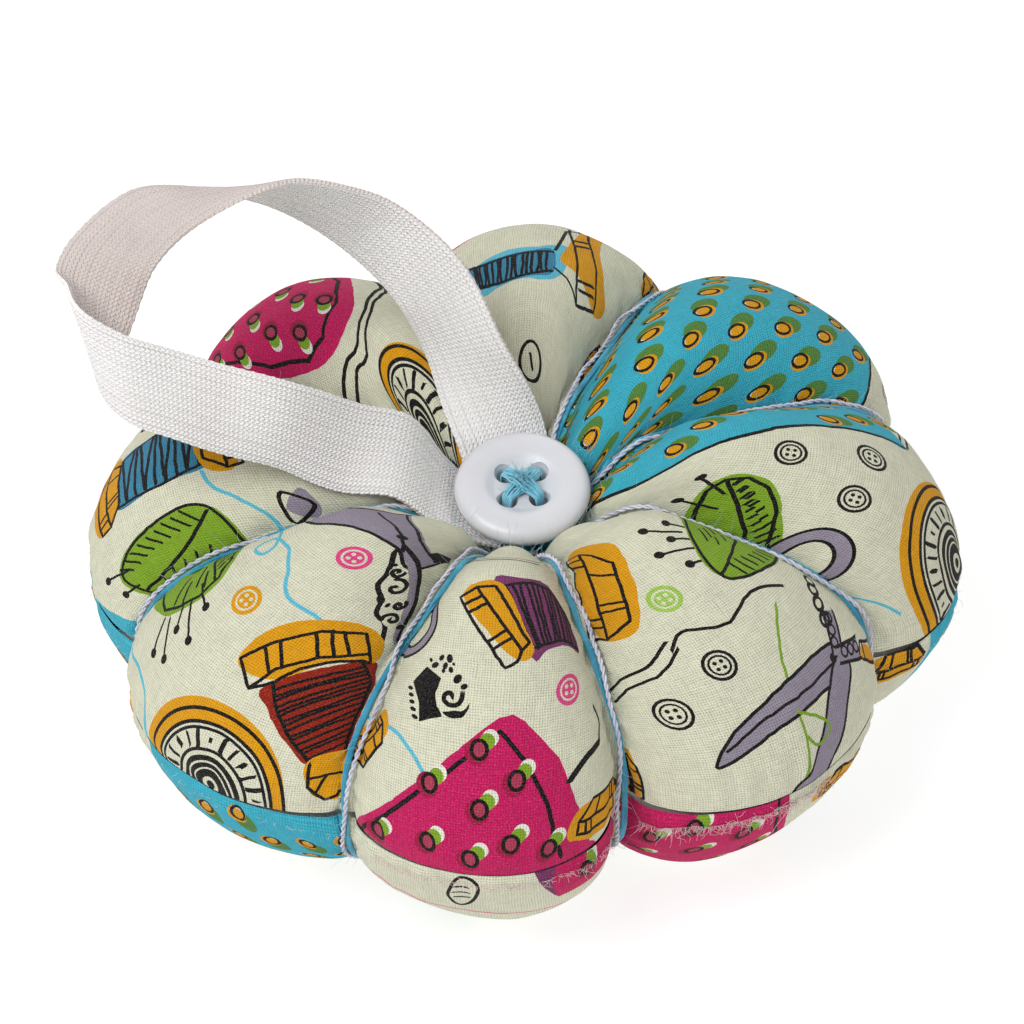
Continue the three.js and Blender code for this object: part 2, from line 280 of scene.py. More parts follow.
def mesh_object(name, points, faces, materials=(), slots=None, uv=None, normals=None):
    """A smooth mesh from points in millimetres, with its cloth coordinates as its UV map."""
    mesh = bpy.data.meshes.new(name)
    mesh.from_pydata((np.asarray(points) * MM).tolist(), [], faces)
    for material in materials:
        mesh.materials.append(material)
    if slots is not None:
        mesh.polygons.foreach_set("material_index", slots)
    mesh.polygons.foreach_set("use_smooth", [True] * len(mesh.polygons))
    if uv is not None:
        corner = np.zeros(len(mesh.loops), dtype=int)
        mesh.loops.foreach_get("vertex_index", corner)
        layer = mesh.uv_layers.new(name="cloth")
        layer.data.foreach_set("uv", np.asarray(uv, dtype=float)[corner].ravel())
    mesh.update()
    if normals is not None:
        mesh.normals_split_custom_set_from_vertices(np.asarray(normals).tolist())
    return link(bpy.data.objects.new(name, mesh))


def wall_faces(rows, columns, first=0, inward=False):
    """The faces of a wall of rings, each ring closed on itself."""
    faces = []
    for i in range(rows - 1):
        for j in range(columns):
            a, b = first + i * columns + j, first + i * columns + (j + 1) % columns
            faces.append((a, a + columns, b + columns, b) if inward else (a, b, b + columns, a + columns))
    return faces


def declare(obj, body, slot, *nodes):
    """Says what a piece rides on and which CAD nodes it stands for. Its slot is not used."""
    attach(obj, body)
    if nodes:
        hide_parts(*nodes)
    return obj


# ---- materials -----------------------------------------------------------------------------------


class Nodes:
    """A small helper that adds and joins the nodes of one material."""

    def __init__(self, name):
        self.material = bpy.data.materials.new(name)
        self.material.use_nodes = True
        self.tree = self.material.node_tree
        self.shader = self.tree.nodes["Principled BSDF"]

    def put(self, socket, value):
        if isinstance(value, bpy.types.NodeSocket):
            self.tree.links.new(value, socket)
        else:
            socket.default_value = value

    def add(self, kind, *values, **named):
        node = self.tree.nodes.new(kind)
        for socket, value in zip(node.inputs, values):
            self.put(socket, value)
        for key, value in named.items():
            self.put(node.inputs[key], value)
        return node

    def math(self, operation, *values):
        node = self.add("ShaderNodeMath", *values)
        node.operation = operation
        return node.outputs[0]

    def times(self, a, b):
        return self.math("MULTIPLY", a, b)

    def times_plus(self, a, b, c):
        return self.math("MULTIPLY_ADD", a, b, c)

    def uv(self):
        node = self.add("ShaderNodeUVMap")
        node.uv_map = "cloth"
        return node.outputs[0]

    def split(self, vector):
        node = self.add("ShaderNodeSeparateXYZ", vector)
        return node.outputs[0], node.outputs[1]

    def noise(self, vector, scale, detail=2.0, roughness=0.5):
        node = self.add("ShaderNodeTexNoise", Vector=vector, Scale=scale, Detail=detail, Roughness=roughness)
        return node.outputs["Fac"]

    def stretched(self, vector, scale):
        return self.add("ShaderNodeMapping", Vector=vector, Scale=scale).outputs[0]

    def ranged(self, value, low, high, to_low, to_high):
        return self.add("ShaderNodeMapRange", value, low, high, to_low, to_high).outputs[0]

    def blend(self, factor, a, b, mode="MIX"):
        node = self.add("ShaderNodeMix")
        node.data_type = "RGBA"
        node.blend_type = mode
        colours = [socket for socket in node.inputs if socket.type == "RGBA"]
        self.put(node.inputs[0], factor)
        self.put(colours[0], a)
        self.put(colours[1], b)
        return next(socket for socket in node.outputs if socket.type == "RGBA")

    def dimmed(self, colour, level):
        grey = self.add("ShaderNodeCombineColor", level, level, level).outputs[0]
        return self.blend(1.0, colour, grey, "MULTIPLY")

    def finish(self, colour, roughness, bump=None, depth=0.0, **constants):
        self.put(self.shader.inputs["Base Color"], colour)
        self.put(self.shader.inputs["Roughness"], roughness)
        if bump is not None:
            raised = self.add("ShaderNodeBump", Height=bump, Distance=depth * MM)
            self.put(self.shader.inputs["Normal"], raised.outputs[0])
        for key, value in constants.items():
            self.shader.inputs[key.replace("_", " ")].default_value = value
        return self.material


def rgb(red, green, blue):
    """A linear colour with alpha from display values of 0 to 255."""
    return tuple((c / 255) ** 2.2 for c in (red, green, blue)) + (1.0,)


YARN_PITCH = 0.31
WEAVE_DEPTH = 0.1
BARE_YARN = 0.14
CREAM = rgb(223, 222, 197)


def cotton(name, colour, bare=0.0):
    """Printed plain-weave cotton. Its yarns lie in the cloth coordinates, which are millimetres."""
    n = Nodes(name)
    cloth = n.uv()
    wander = n.noise(cloth, 0.5, 3.0)
    u, v = n.split(cloth)
    u = n.times_plus(u, math.pi / YARN_PITCH, n.times(wander, 5.0))
    v = n.times_plus(v, math.pi / YARN_PITCH, n.times(wander, -4.2))
    warp = n.math("SINE", u)
    weft = n.math("SINE", v)
    over = n.times_plus(n.times(warp, weft), 0.5, 0.5)
    warp_height = n.times(n.math("ABSOLUTE", warp), over)
    weft_height = n.times(n.math("ABSOLUTE", weft), n.math("SUBTRACT", 1.0, over))
    height = n.math("MAXIMUM", warp_height, weft_height)
    slub = n.noise(n.stretched(cloth, (3.2, 0.35, 1)), 1.0)
    slub_across = n.noise(n.stretched(cloth, (0.35, 3.2, 1)), 1.0)
    fibres = n.noise(cloth, 7.0, 3.0, 0.7)
    pores = n.ranged(height, 0.04, 0.5, 1.0, 0.0)
    openness = n.ranged(n.noise(cloth, 1.3, 2.0), 0.3, 0.65, 0.32, 0.64)
    shade = n.math("SUBTRACT", 1.0, n.times(pores, openness))
    relief = n.times_plus(n.times(slub, slub_across), 1.6, n.math("MINIMUM", height, 0.7))
    relief = n.times_plus(fibres, 0.4, relief)
    mottle = n.ranged(n.noise(cloth, 0.35, 4.0, 0.6), 0.3, 0.7, 0.95, 1.04)
    worn = n.ranged(n.times(slub, slub_across), 0.12, 0.4, 0.93, 1.05)
    grain = n.ranged(fibres, 0.3, 0.7, 0.93, 1.06)
    tone = n.times(n.times(shade, mottle), n.times(worn, grain))
    if bare:
        colour = n.blend(n.ranged(n.noise(cloth, 4.4, 3.0, 0.8), 0.5, 0.74, 0.0, bare), colour, CREAM)
    return n.finish(
        n.dimmed(colour, tone),
        n.ranged(fibres, 0.3, 0.7, 0.8, 0.95),
        relief,
        WEAVE_DEPTH,
        Sheen_Weight=0.05,
        Sheen_Roughness=0.5,
        Specular_IOR_Level=0.12,
    )


INK_COLOURS = {
    "cream": CREAM,
    "white": rgb(232, 232, 218),
    "black": rgb(20, 17, 22),
    "ochre": rgb(224, 156, 14),
    "magenta": rgb(200, 25, 95),
    "pink": rgb(232, 72, 138),
    "lime": rgb(128, 166, 42),
    "leaf": rgb(164, 204, 92),
    "teal": rgb(60, 176, 200),
    "aqua": rgb(98, 192, 216),
    "olive": rgb(84, 132, 62),
    "maroon": rgb(164, 24, 70),
    "rose": rgb(172, 60, 86),
    "brick": rgb(146, 36, 18),
    "purple": rgb(124, 56, 104),
    "slate": rgb(58, 132, 166),
    "lilac": rgb(152, 142, 158),
}
INKS = {
    name: cotton(f"cotton_{name}", colour, 0 if name in ("cream", "white") else BARE_YARN)
    for name, colour in INK_COLOURS.items()
}
INK_ORDER = list(INKS)


# ---- the print on the cloth ----------------------------------------------------------------------

# Width of a printed line, and how far apart the points along it lie.
PEN = 0.4
STEP = 0.6
SWAY = 0.1
SWAY_LENGTH = 1.7
RAGGED = 0.09
RAGGED_LENGTH = 0.45


def unsteady(x, y, seed):
    """How far a printed line strays: it sways a little, and its edge catches on single yarns."""
    return SWAY * ripple(x, y, seed, SWAY_LENGTH) + RAGGED * ripple(x, y, seed + 20, RAGGED_LENGTH)


def traced(points, closed=False, smooth=True):
    """A hand-drawn line through points, smoothed or straight between them and a little unsteady."""
    spots = np.asarray(points, dtype=float)
    count = len(spots)
    out = []
    for i in range(count if closed else count - 1):
        a, b = spots[i], spots[(i + 1) % count]
        before = spots[i - 1] if closed or i > 0 else a
        after = spots[(i + 2) % count] if closed or i + 2 < count else b
        steps = max(4 if smooth else 1, round(np.linalg.norm(b - a) / STEP))
        for k in range(steps):
            t = k / steps
            if smooth:
                ease = (b - before) * (t - 2 * t**2 + t**3) / 2 + (after - a) * (t**3 - t**2) / 2
                out.append(a * (1 - 3 * t**2 + 2 * t**3) + b * (3 * t**2 - 2 * t**3) + ease)
            else:
                out.append(mix(a, b, t))
    if not closed:
        out.append(spots[-1])
    return np.array([(x + unsteady(x, y, 3), y + unsteady(x, y, 8)) for x, y in out])


def oval(centre, across, along=None, turn=0.0):
    along = across if along is None else along
    count = max(14, round(2 * math.pi * max(across, along) / STEP))
    angle = np.linspace(0, 2 * math.pi, count, endpoint=False)
    x, y = across * np.cos(angle), along * np.sin(angle)
    c, s = math.cos(turn), math.sin(turn)
    return np.stack([centre[0] + c * x - s * y, centre[1] + s * x + c * y], -1)


class Shape:
    """A filled outline, or a line with a half width, printed in one ink."""

    def __init__(self, ink, points, half=0.0, closed=True):
        self.ink = INK_ORDER.index(ink)
        self.half = half
        self.path = np.concatenate([points, points[:1]]) if closed else points
        self.loops = [points] if not half else self.sides(points, closed)
        self.low = self.path.min(0) - half
        self.high = self.path.max(0) + half

    def sides(self, points, closed):
        if closed:
            way = np.roll(points, -1, 0) - np.roll(points, 1, 0)
        else:
            way = np.gradient(points, axis=0)
        aside = unit(np.stack([-way[:, 1], way[:, 0]], -1)) * self.half
        if closed:
            return [points + aside, points - aside]
        return [np.concatenate([points + aside, (points - aside)[::-1]])]

    def holds(self, spots):
        inside = ((spots >= self.low) & (spots <= self.high)).all(1)
        near = np.nonzero(inside)[0]
        if not len(near):
            return inside
        x, y = spots[near, None, 0], spots[near, None, 1]
        a, b = self.path[None, :-1], self.path[None, 1:]
        if self.half:
            way = b - a
            share = ((x - a[..., 0]) * way[..., 0] + (y - a[..., 1]) * way[..., 1]) / (way**2).sum(-1)
            share = np.clip(share, 0, 1)
            off = np.hypot(x - a[..., 0] - share * way[..., 0], y - a[..., 1] - share * way[..., 1])
            inside[near] = off.min(1) < self.half * 1.01
            return inside
        rise = np.where(b[..., 1] == a[..., 1], 1e-9, b[..., 1] - a[..., 1])
        crossing = (a[..., 1] > y) != (b[..., 1] > y)
        left = x < a[..., 0] + (y - a[..., 1]) / rise * (b[..., 0] - a[..., 0])
        inside[near] = (crossing & left).sum(1) % 2 == 1
        return inside


class Pen:
    """Draws shapes in its own place, turn (in degrees) and size on a piece of cloth."""

    def __init__(self, shapes, at=(0, 0), turn=0, size=1.0):
        self.shapes = shapes
        self.place = np.array(at, dtype=float)
        self.angle = math.radians(turn)
        self.size = size

    def at(self, place, turn=0, size=1.0):
        spot = self.moved(np.array([place], dtype=float))[0]
        return Pen(self.shapes, spot, math.degrees(self.angle) + turn, self.size * size)

    def moved(self, points):
        c, s = math.cos(self.angle), math.sin(self.angle)
        points = np.asarray(points, dtype=float) * self.size
        turned = np.stack([c * points[:, 0] - s * points[:, 1], s * points[:, 0] + c * points[:, 1]], -1)
        return turned + self.place

    def fill(self, ink, points, smooth=False):
        self.shapes.append(Shape(ink, traced(self.moved(points), True, smooth)))

    def line(self, points, ink="black", width=PEN, closed=False, smooth=True):
        self.shapes.append(Shape(ink, traced(self.moved(points), closed, smooth), width / 2, closed))

    def stroke(self, points, width=PEN, closed=False):
        """A black line that runs straight from point to point."""
        self.line(points, width=width, closed=closed, smooth=False)

    def disc(self, ink, centre, across, along=None, turn=0.0, half=0.0):
        outline = self.moved(oval(centre, across, along, math.radians(turn)))
        self.shapes.append(Shape(ink, outline, half))

    def ring(self, centre, across, along=None, width=PEN, ink="black", turn=0.0):
        self.disc(ink, centre, across, along, turn, width / 2)


def flange(pen, shift=(-0.5, 0.6)):
    """One end of a wooden spool, 11 long and 4.4 wide, with its yellow printed a little off its lines."""
    pen.at(shift).fill("ochre", [(-2.2, -5.4), (2, -4.8), (2.2, 4.8), (-2, 5.6)], True)
    pen.stroke([(-2, -5.4), (-0.2, -5.6), (-0.2, 5.4), (-2, 5.2)], closed=True)
    pen.stroke([(-0.2, -5.6), (2.2, -3.4), (2.2, 3.4), (-0.2, 5.4)])
    for y in (-4.2, -3.2, 3.1, 4.1):
        pen.stroke([(-2, y), (-0.2, y + 0.2)], 0.36)
    for y in (-2.4, -1.5, 2.3):
        pen.stroke([(-0.2, y), (2.2, y * 0.8)], 0.36)


def spool(pen, thread, length=9, lines=9):
    """A spool of thread along the x axis."""
    half = length / 2
    pen.fill(thread, [(-half, -4.2), (0, -4.7), (half, -4.2), (half, 4.2), (0, 4.7), (-half, 4.2)], True)
    for i in range(lines):
        x = mix(-half + 0.3, half - 0.3, i / (lines - 1))
        bow = 0.5 * math.cos(math.pi * x / length)
        sway = 0.5 * math.sin(2.1 * i)
        pen.line([(x + sway, -3.9 - bow), (x + 0.35, 0), (x - sway, 3.9 + bow)], width=0.44)
    pen.line([(-half, 4.1), (0, 4.8), (half, 4.1)], width=0.4)
    pen.line([(-half, -4.1), (0, -4.8), (half, -4.1)], width=0.4)
    flange(pen.at((-half - 1.6, 0)))
    flange(pen.at((half + 1.6, 0), 180), (0.5, -0.6))


def drawing(pen, ink, outline, strokes):
    """A patch of one ink with straight pen strokes over it."""
    pen.fill(ink, outline, True)
    for stroke in strokes:
        pen.stroke(stroke)


def wound(pen, thread, side, other, lines):
    """Thread wound on a spool that is drawn bent: from one side of its body to the other."""
    side, other = np.array(side), np.array(other)
    pen.fill(thread, np.concatenate([mix(other, side, 1.09), mix(side, other, 1.09)[::-1]]), True)
    pen.line(side)
    pen.line(other)
    marks = np.linspace(0.3, len(side) - 1.3, lines)
    for k, mark in enumerate(marks):
        low = min(int(mark), len(side) - 2)
        a = mix(side[low], side[low + 1], mark - low)
        b = mix(other[low], other[low + 1], mark - low)
        sway = 0.12 * math.sin(2.3 * k) * unit(side[-1] - side[0])
        pen.line([a, mix(a, b, 0.5) + 2 * sway, b + sway], width=0.36)


def spool_end(pen):
    """The round end of a spool, seen flat: a yellow rim, a band of plain ticks and a dark middle."""
    pen.disc("ochre", (-0.5, 0.5), 9.8)
    pen.ring((0, 0), 9.2, width=0.42)
    pen.disc("cream", (0, 0), 7.7)
    pen.ring((0, 0), 7.7, width=0.42)
    pen.ring((0, 0), 7.05, width=0.36)
    ticks = 22
    for i in range(ticks):
        angle = 2 * math.pi * i / ticks
        inner, outer = (5.1, 6.5) if i % 3 else (5.5, 6.2)
        c, s = math.cos(angle), math.sin(angle)
        pen.stroke([(inner * c, inner * s), (outer * c, outer * s)], 0.62 if i % 2 else 0.42)
    pen.ring((0, 0), 4.6, width=0.4)
    pen.disc("black", (0, 0), 3.9)
    pen.ring((0, 0), 3.1, width=0.26, ink="cream")
    pen.ring((0.1, 0), 2.3, width=0.22, ink="cream")
    pen.disc("cream", (0, 0), 1.15)
    pen.disc("black", (0, 0), 0.6)


def button(pen, ink="black"):
    """A small printed button: drawn in black, or printed solid in a colour."""
    paper, mark = (ink, "cream") if ink != "black" else ("cream", "black")
    pen.disc(paper, (0, 0), 1.75)
    if ink == "black":
        pen.ring((0, 0), 1.7, width=0.38)
    pen.ring((0, 0), 1.15, width=0.26, ink=mark)
    for x, y in ((0.38, 0.38), (-0.38, 0.38), (0.38, -0.38), (-0.38, -0.38)):
        pen.disc(mark, (x, y), 0.24)


def pins(pen, heads, points):
    """Pins stuck into a cushion, each from its head to its point."""
    for head, point in zip(heads, points):
        pen.stroke([head, point], 0.34)
        pen.disc("black", head, 0.55)


def green_cushion(pen):
    """A small printed pin cushion, 12 wide and 9 high, flat side down, hatched above and below its sash."""
    pen.fill("lime", [
        (-6.3, -2.6), (-6.4, 1.8), (-3.6, 5.3), (1.4, 6), (5.4, 4), (6.9, 0.2), (6, -3.4), (0, -4.2),
    ], True)
    pen.line([
        (-5.8, -3), (-6.2, 1.2), (-3.8, 4.6), (1, 5.4), (5, 3.6), (6.3, 0), (5.6, -3.2), (0, -4),
    ], closed=True)
    pen.line([(-5.9, -2.2), (-2, -0.4), (2.4, 0.4), (6.2, 0.2)])
    for i in range(9):
        x = -4.6 + 1.15 * i
        pen.stroke([(x, -1.6 - 0.05 * i), (x + 0.9, -3.4)], 0.34)
        if i < 8:
            pen.stroke([(x + 0.4, 1.6 + 0.12 * i), (x + 1.3, 3.2)], 0.34)
    for i in range(5):
        x = -3.4 + 1.7 * i
        pen.stroke([(x, 0.6), (x + 0.8, 1.5)], 0.3)


def scissors(pen, arms=(32, -38), ringed=True):
    """Half-open scissors with their points to the left of the pivot and any rings to the right."""
    blade = [
        (-18, -5.2), (-15.4, -1.6), (-10, 1), (-4, 2.3), (1, 2.2), (2.6, 0.6), (1, -1.2), (-4, -1.6),
        (-11, -2.6),
    ]
    pen.fill("lilac", blade, True)
    pen.line(blade, closed=True)
    pen.line([(-16.6, -3.4), (-11, -0.8), (-4, 0), (0.4, 0.3)], width=0.34)
    lower = [(-10, -11.6), (-6.4, -7.4), (-1.8, -1.4), (1.6, 0.6), (2.8, -1.4), (-0.6, -5.2), (-4.8, -11)]
    pen.fill("lilac", lower, True)
    pen.line(lower, closed=True)
    pen.disc("black", (0.6, 0.6), 0.6)
    for turn in arms:
        arm = pen.at((1.6, 0.4), turn)
        arm.fill("lilac", [(0, -0.9), (5, -1.1), (5, 1.1), (0, 0.9)])
        arm.line([(0, -0.9), (5, -1.2)])
        arm.line([(0, 0.9), (5, 1.2)])
        for x in (1.4, 2.8, 4.2):
            arm.ring((x, 0.2), 0.6, width=0.3)
        if ringed:
            arm.disc("lilac", (8.6, 0), 4.4, 3.4)
            arm.ring((8.6, 0), 4.4, 3.4)
            arm.disc("cream", (8.8, 0), 2.9, 2.1)
            arm.ring((8.8, 0), 2.9, 2.1, width=0.36)


def curl(pen, half_turns, width):
    """A spiral about 2 across, wound out from its middle."""
    marks = [0.5 * k for k in range(round(half_turns * 2 * math.pi))]
    pen.line([(0.13 * (k + 1) * math.cos(k), 0.13 * (k + 1) * math.sin(k)) for k in marks], width=width)


def dress_form(pen):
    """A dark dress form with a fringe of drops on one side, a curl on the other and crumbs over it."""
    torso = [
        (-2.3, 1.5), (-0.5, 3.4), (0.5, 2.7), (1.5, 2), (0.9, 0.2), (1, -1.2), (1.6, -2.3), (-1.1, -3),
        (-1.1, -1),
    ]
    pen.fill("black", torso)
    for i in range(5):
        pen.disc("black", (-2.6 + 0.24 * i, 0.8 - 0.84 * i), 0.44, 0.24, -20)
    crescent = [(1.6, -1.9), (2.6, -1.7), (3.9, -1.6), (4.6, -0.8), (4, -2.2), (2.6, -2.5)]
    pen.fill("black", crescent, True)
    curl(pen.at((2.6, -0.1), 30, 1.5), 2.1, 0.54)
    for x, y, size in ((0.6, 3.6, 0.5), (1.4, 4.5, 0.42), (2.4, 4.4, 0.55), (1.9, 3.5, 0.45), (2.6, 3, 0.4)):
        pen.disc("black", (x, y), size, 0.7 * size, 40 * x)
    for x, y, size in (
        (1.7, 2.9, 0.3), (3.4, 1.9, 0.6), (2.9, 3.7, 0.22), (4.1, 1, 0.42), (0, 4.2, 0.28),
        (3.9, 0.1, 0.26),
    ):
        pen.disc("black", (x, y), size, 0.75 * size, 30 * y)


def pink_dot(pen):
    """A ring with its highlight to the upper right."""
    pen.disc("maroon", (-0.25, -0.25), 1.3, 1.45)
    pen.disc("white", (1.1, 1.3), 0.88, 0.95)
    pen.disc("lime", (0.78, 0.9), 0.84, 0.9)
    pen.disc("rose", (0, 0), 0.8, 0.98)
    pen.ring((0, 0), 0.82, 1.0, width=0.42)


def pink_patch(pen, outline, inner, dots, smooth=True):
    """A dotted pink patch with a dark line drawn inside its edge."""
    pen.fill("magenta", outline, smooth)
    pen.stroke(inner, 0.5)
    for dot in dots:
        pink_dot(pen.at(dot))


def teal_dot(pen):
    """A yellow oval with its green shadow below it."""
    pen.disc("olive", (0.6, -1.1), 1.3, 1.8)
    pen.disc("ochre", (-0.1, -0.1), 1.1, 1.4)
    pen.disc("white", (0.1, 0.8), 0.6, 0.5)
    pen.disc("ochre", (0.1, 0), 0.78, 0.9)
    pen.ring((0.1, 0.1), 0.78, 1.1, width=0.36, turn=-12)


def teal_dots(pen, low, high, inside=lambda x, y: True):
    """Staggered dots over the area from one corner to the other."""
    for i in range(-18, 19):
        for j in range(-18, 19):
            x, y = 4.7 * i - 2.5 * j + 1.3, 1.8 * i + 4.3 * j + 0.6
            if low[0] < x < high[0] and low[1] < y < high[1] and inside(x, y):
                teal_dot(pen.at((x, y), 12 * math.sin(x + y)))


def double_line(pen, points, gap):
    """A pen line with a thinner copy beside it."""
    pen.line(points)
    pen.line([(x + gap[0], y + gap[1]) for x, y in points], width=0.36)


def print_lobe_1(pen, under):
    dress_form(pen.at((-7, 19.5), 6, 1.02))
    upper = [(-0.4, 34.2), (2.6, 35), (6, 34), (8.6, 31.8), (11, 28.6)]
    wound(pen, "purple", upper, [(3.6, 25.6), (5.4, 26.3), (7.6, 26.7), (9.6, 26.3), (12, 25)], 15)
    drawing(
        pen,
        "ochre",
        [
            (-4.2, 32.4), (-2.4, 34.6), (0, 34.8), (1.4, 32.6), (3, 28.8), (4.2, 25.6), (3.2, 24.3),
            (1.2, 25.4), (-1, 28),
        ],
        [
            [
                (-0.6, 34.2), (-2.6, 33.7), (-4.6, 32.1), (0.2, 24.9), (1.2, 23.5), (2.5, 24.2),
                (2.9, 25.6), (3.6, 26.6),
            ],
            [(-2.6, 33.7), (2.9, 25.6)],
            [(-0.6, 34.2), (3.6, 26.6)],
            [(-4, 31.1), (-2, 32.6)],
            [(-3.4, 30.2), (-1.4, 31.6)],
            [(-1, 26.6), (1, 28.2)],
            [(-0.4, 25.6), (1.6, 27.2)],
        ],
    )
    button(pen.at((9.1, 20.4), size=1.1), "pink")
    pen.line([(-19, 14.6), (-14, 14.9), (-10, 14.1), (-7, 11)], "aqua", 0.5)
    pink_patch(
        pen,
        [
            (-18, -1), (-9, 8.4), (-1, 16.2), (1, 17.8), (2.4, 18.2), (3.8, 17.4), (7.8, 13),
            (11, 5.6), (12.4, 1.2), (15, -1),
        ],
        [(-15.4, 0.2), (-8, 8.2), (1.2, 16.4), (4.2, 12.8), (6.6, 8.2), (8.4, 1.4)],
        [
            (-6.2, 10), (-0.9, 14.3), (3.2, 11.1), (-0.6, 8), (-6.2, 3.3), (2.8, 4.2), (-12.4, 1.9),
            (-1.5, 2.2), (7, 2.8),
        ],
        smooth=False,
    )
    pen.line([(9.4, 10), (11.6, 11.6), (14.2, 12.4)], width=0.9)
    pen.line([(14.2, 12.4), (14.8, 15), (14, 17)])
    flange(pen.at((-15.6, 11.4), -35, 0.8))
    flange(pen.at((15.6, 3.6), 78, 0.9))
    pen.ring((-13, 28), 4.4, 3.4, 1.6, "lilac")
    pen.ring((-13, 28), 5, 4)
    pen.ring((-13, 28), 3.6, 2.6)
    double_line(pen, [(-9, 38), (-4, 40.4), (1, 41), (5, 39.6)], (0.4, 1.4))
    under.fill("magenta", [(5, 1), (8.2, -6.4), (16, -5), (24, 1)])
    pink_dot(under.at((12, -1.8)))
    under.fill("purple", [(5, 1), (8, -6), (7.4, -2), (8.6, 1)])
    under.line([(-1.4, -0.6), (-3, -0.8), (-4, -4), (-3, -6.6), (-1.6, -5.6), (-0.6, -2)], closed=True)
    for y in (-2, -3.2, -4.4):
        under.line([(-3.3, y - 0.2), (-1.6, y + 0.2)], width=0.32)
    under.line([(-14, -6), (-6, -8.4), (2, -9), (9, -12), (12, -18)], "pink", 0.4)
    green_cushion(under.at((-8, -20), 160, 0.9))
    button(under.at((6, -20)))
    flange(under.at((0, -34), 20, 0.8))


def print_lobe_2(pen, under):
    flange(pen.at((-10.8, 31.4), -26, 1.3), (0.7, 0.6))
    button(pen.at((-5.6, 26.8), size=1.05), "leaf")
    heads = [(-1, 35.8), (2, 35.2), (0.4, 33), (-2.2, 31.9), (-0.6, 29), (5.6, 36.4), (8.6, 37)]
    pins(pen, heads, [(2.4, 33), (4.6, 32), (4, 30.4), (3, 29.8), (4.4, 27.6), (6.6, 32.6), (8.8, 33)])
    green_cushion(pen.at((8.8, 28), -6, 1.16))
    double_line(pen, [(-20, 16.8), (-16, 19), (-12.4, 19.8), (-9, 22)], (0.6, -1.4))
    pen.line([(-9, 20.8), (-6.8, 22.3), (-4.3, 21.5), (-1.8, 21), (1.4, 22.3), (3.9, 22.4), (7.3, 20.7)])
    button(pen.at((-5.8, 17.2)))
    button(pen.at((-13.2, 13.2), size=1.15))
    pen.line([(4.2, 19.8), (1.4, 15.9), (-0.3, 10.9), (-0.8, 4), (-2.1, 0.2)], "lime", 0.36)
    scissors(pen.at((7, 10.4), -2, 1.0), arms=(58, -22), ringed=False)
    pen.line([(-0.5, 9), (2, 7.1), (3.2, 5.2), (1, 4.2), (-0.4, 6)], "lime", 0.36)
    for x, y in ((10, 14.6), (10.7, 16.3), (11.9, 17.7), (13.2, 18.4)):
        pen.ring((x, y), 0.9, 0.75, width=0.5)
    strokes = [[(12.6, 8.2), (14, 8.8), (19, 5.2)], [
        (12.8, 7.4), (15.4, 4.8), (18, 2.6),
    ], [(14.4, 8.4), (13.4, 6.8)]]
    drawing(pen, "ochre", [(12.8, 7.4), (14.2, 8.2), (18.2, 4.6), (17.6, 2.8), (15, 4.9)], strokes)
    flange(pen.at((-22, 2.6), 0, 0.7))
    under.fill("magenta", [(-26, 2), (-3.6, 2), (-3.2, -4), (-0.8, -10), (2, -19), (-10, -22), (-26, -16)])
    under.line([(-4.8, 1), (-4.4, -4), (-2, -10), (0.4, -18)])
    for dot in (
        (-14.3, -1.6), (-8.3, -4), (-12.6, -7.4), (-5.6, -9), (-18.6, -3.4), (-18, -10), (-8, -14),
        (-3, -15),
    ):
        pink_dot(under.at(dot))
    flange(under.at((6, -3), 82, 0.8))
    spool(under.at((9, -18), 40, 0.8), "slate")
    button(under.at((-4, -28)))
    button(under.at((4, -34)), "ochre")


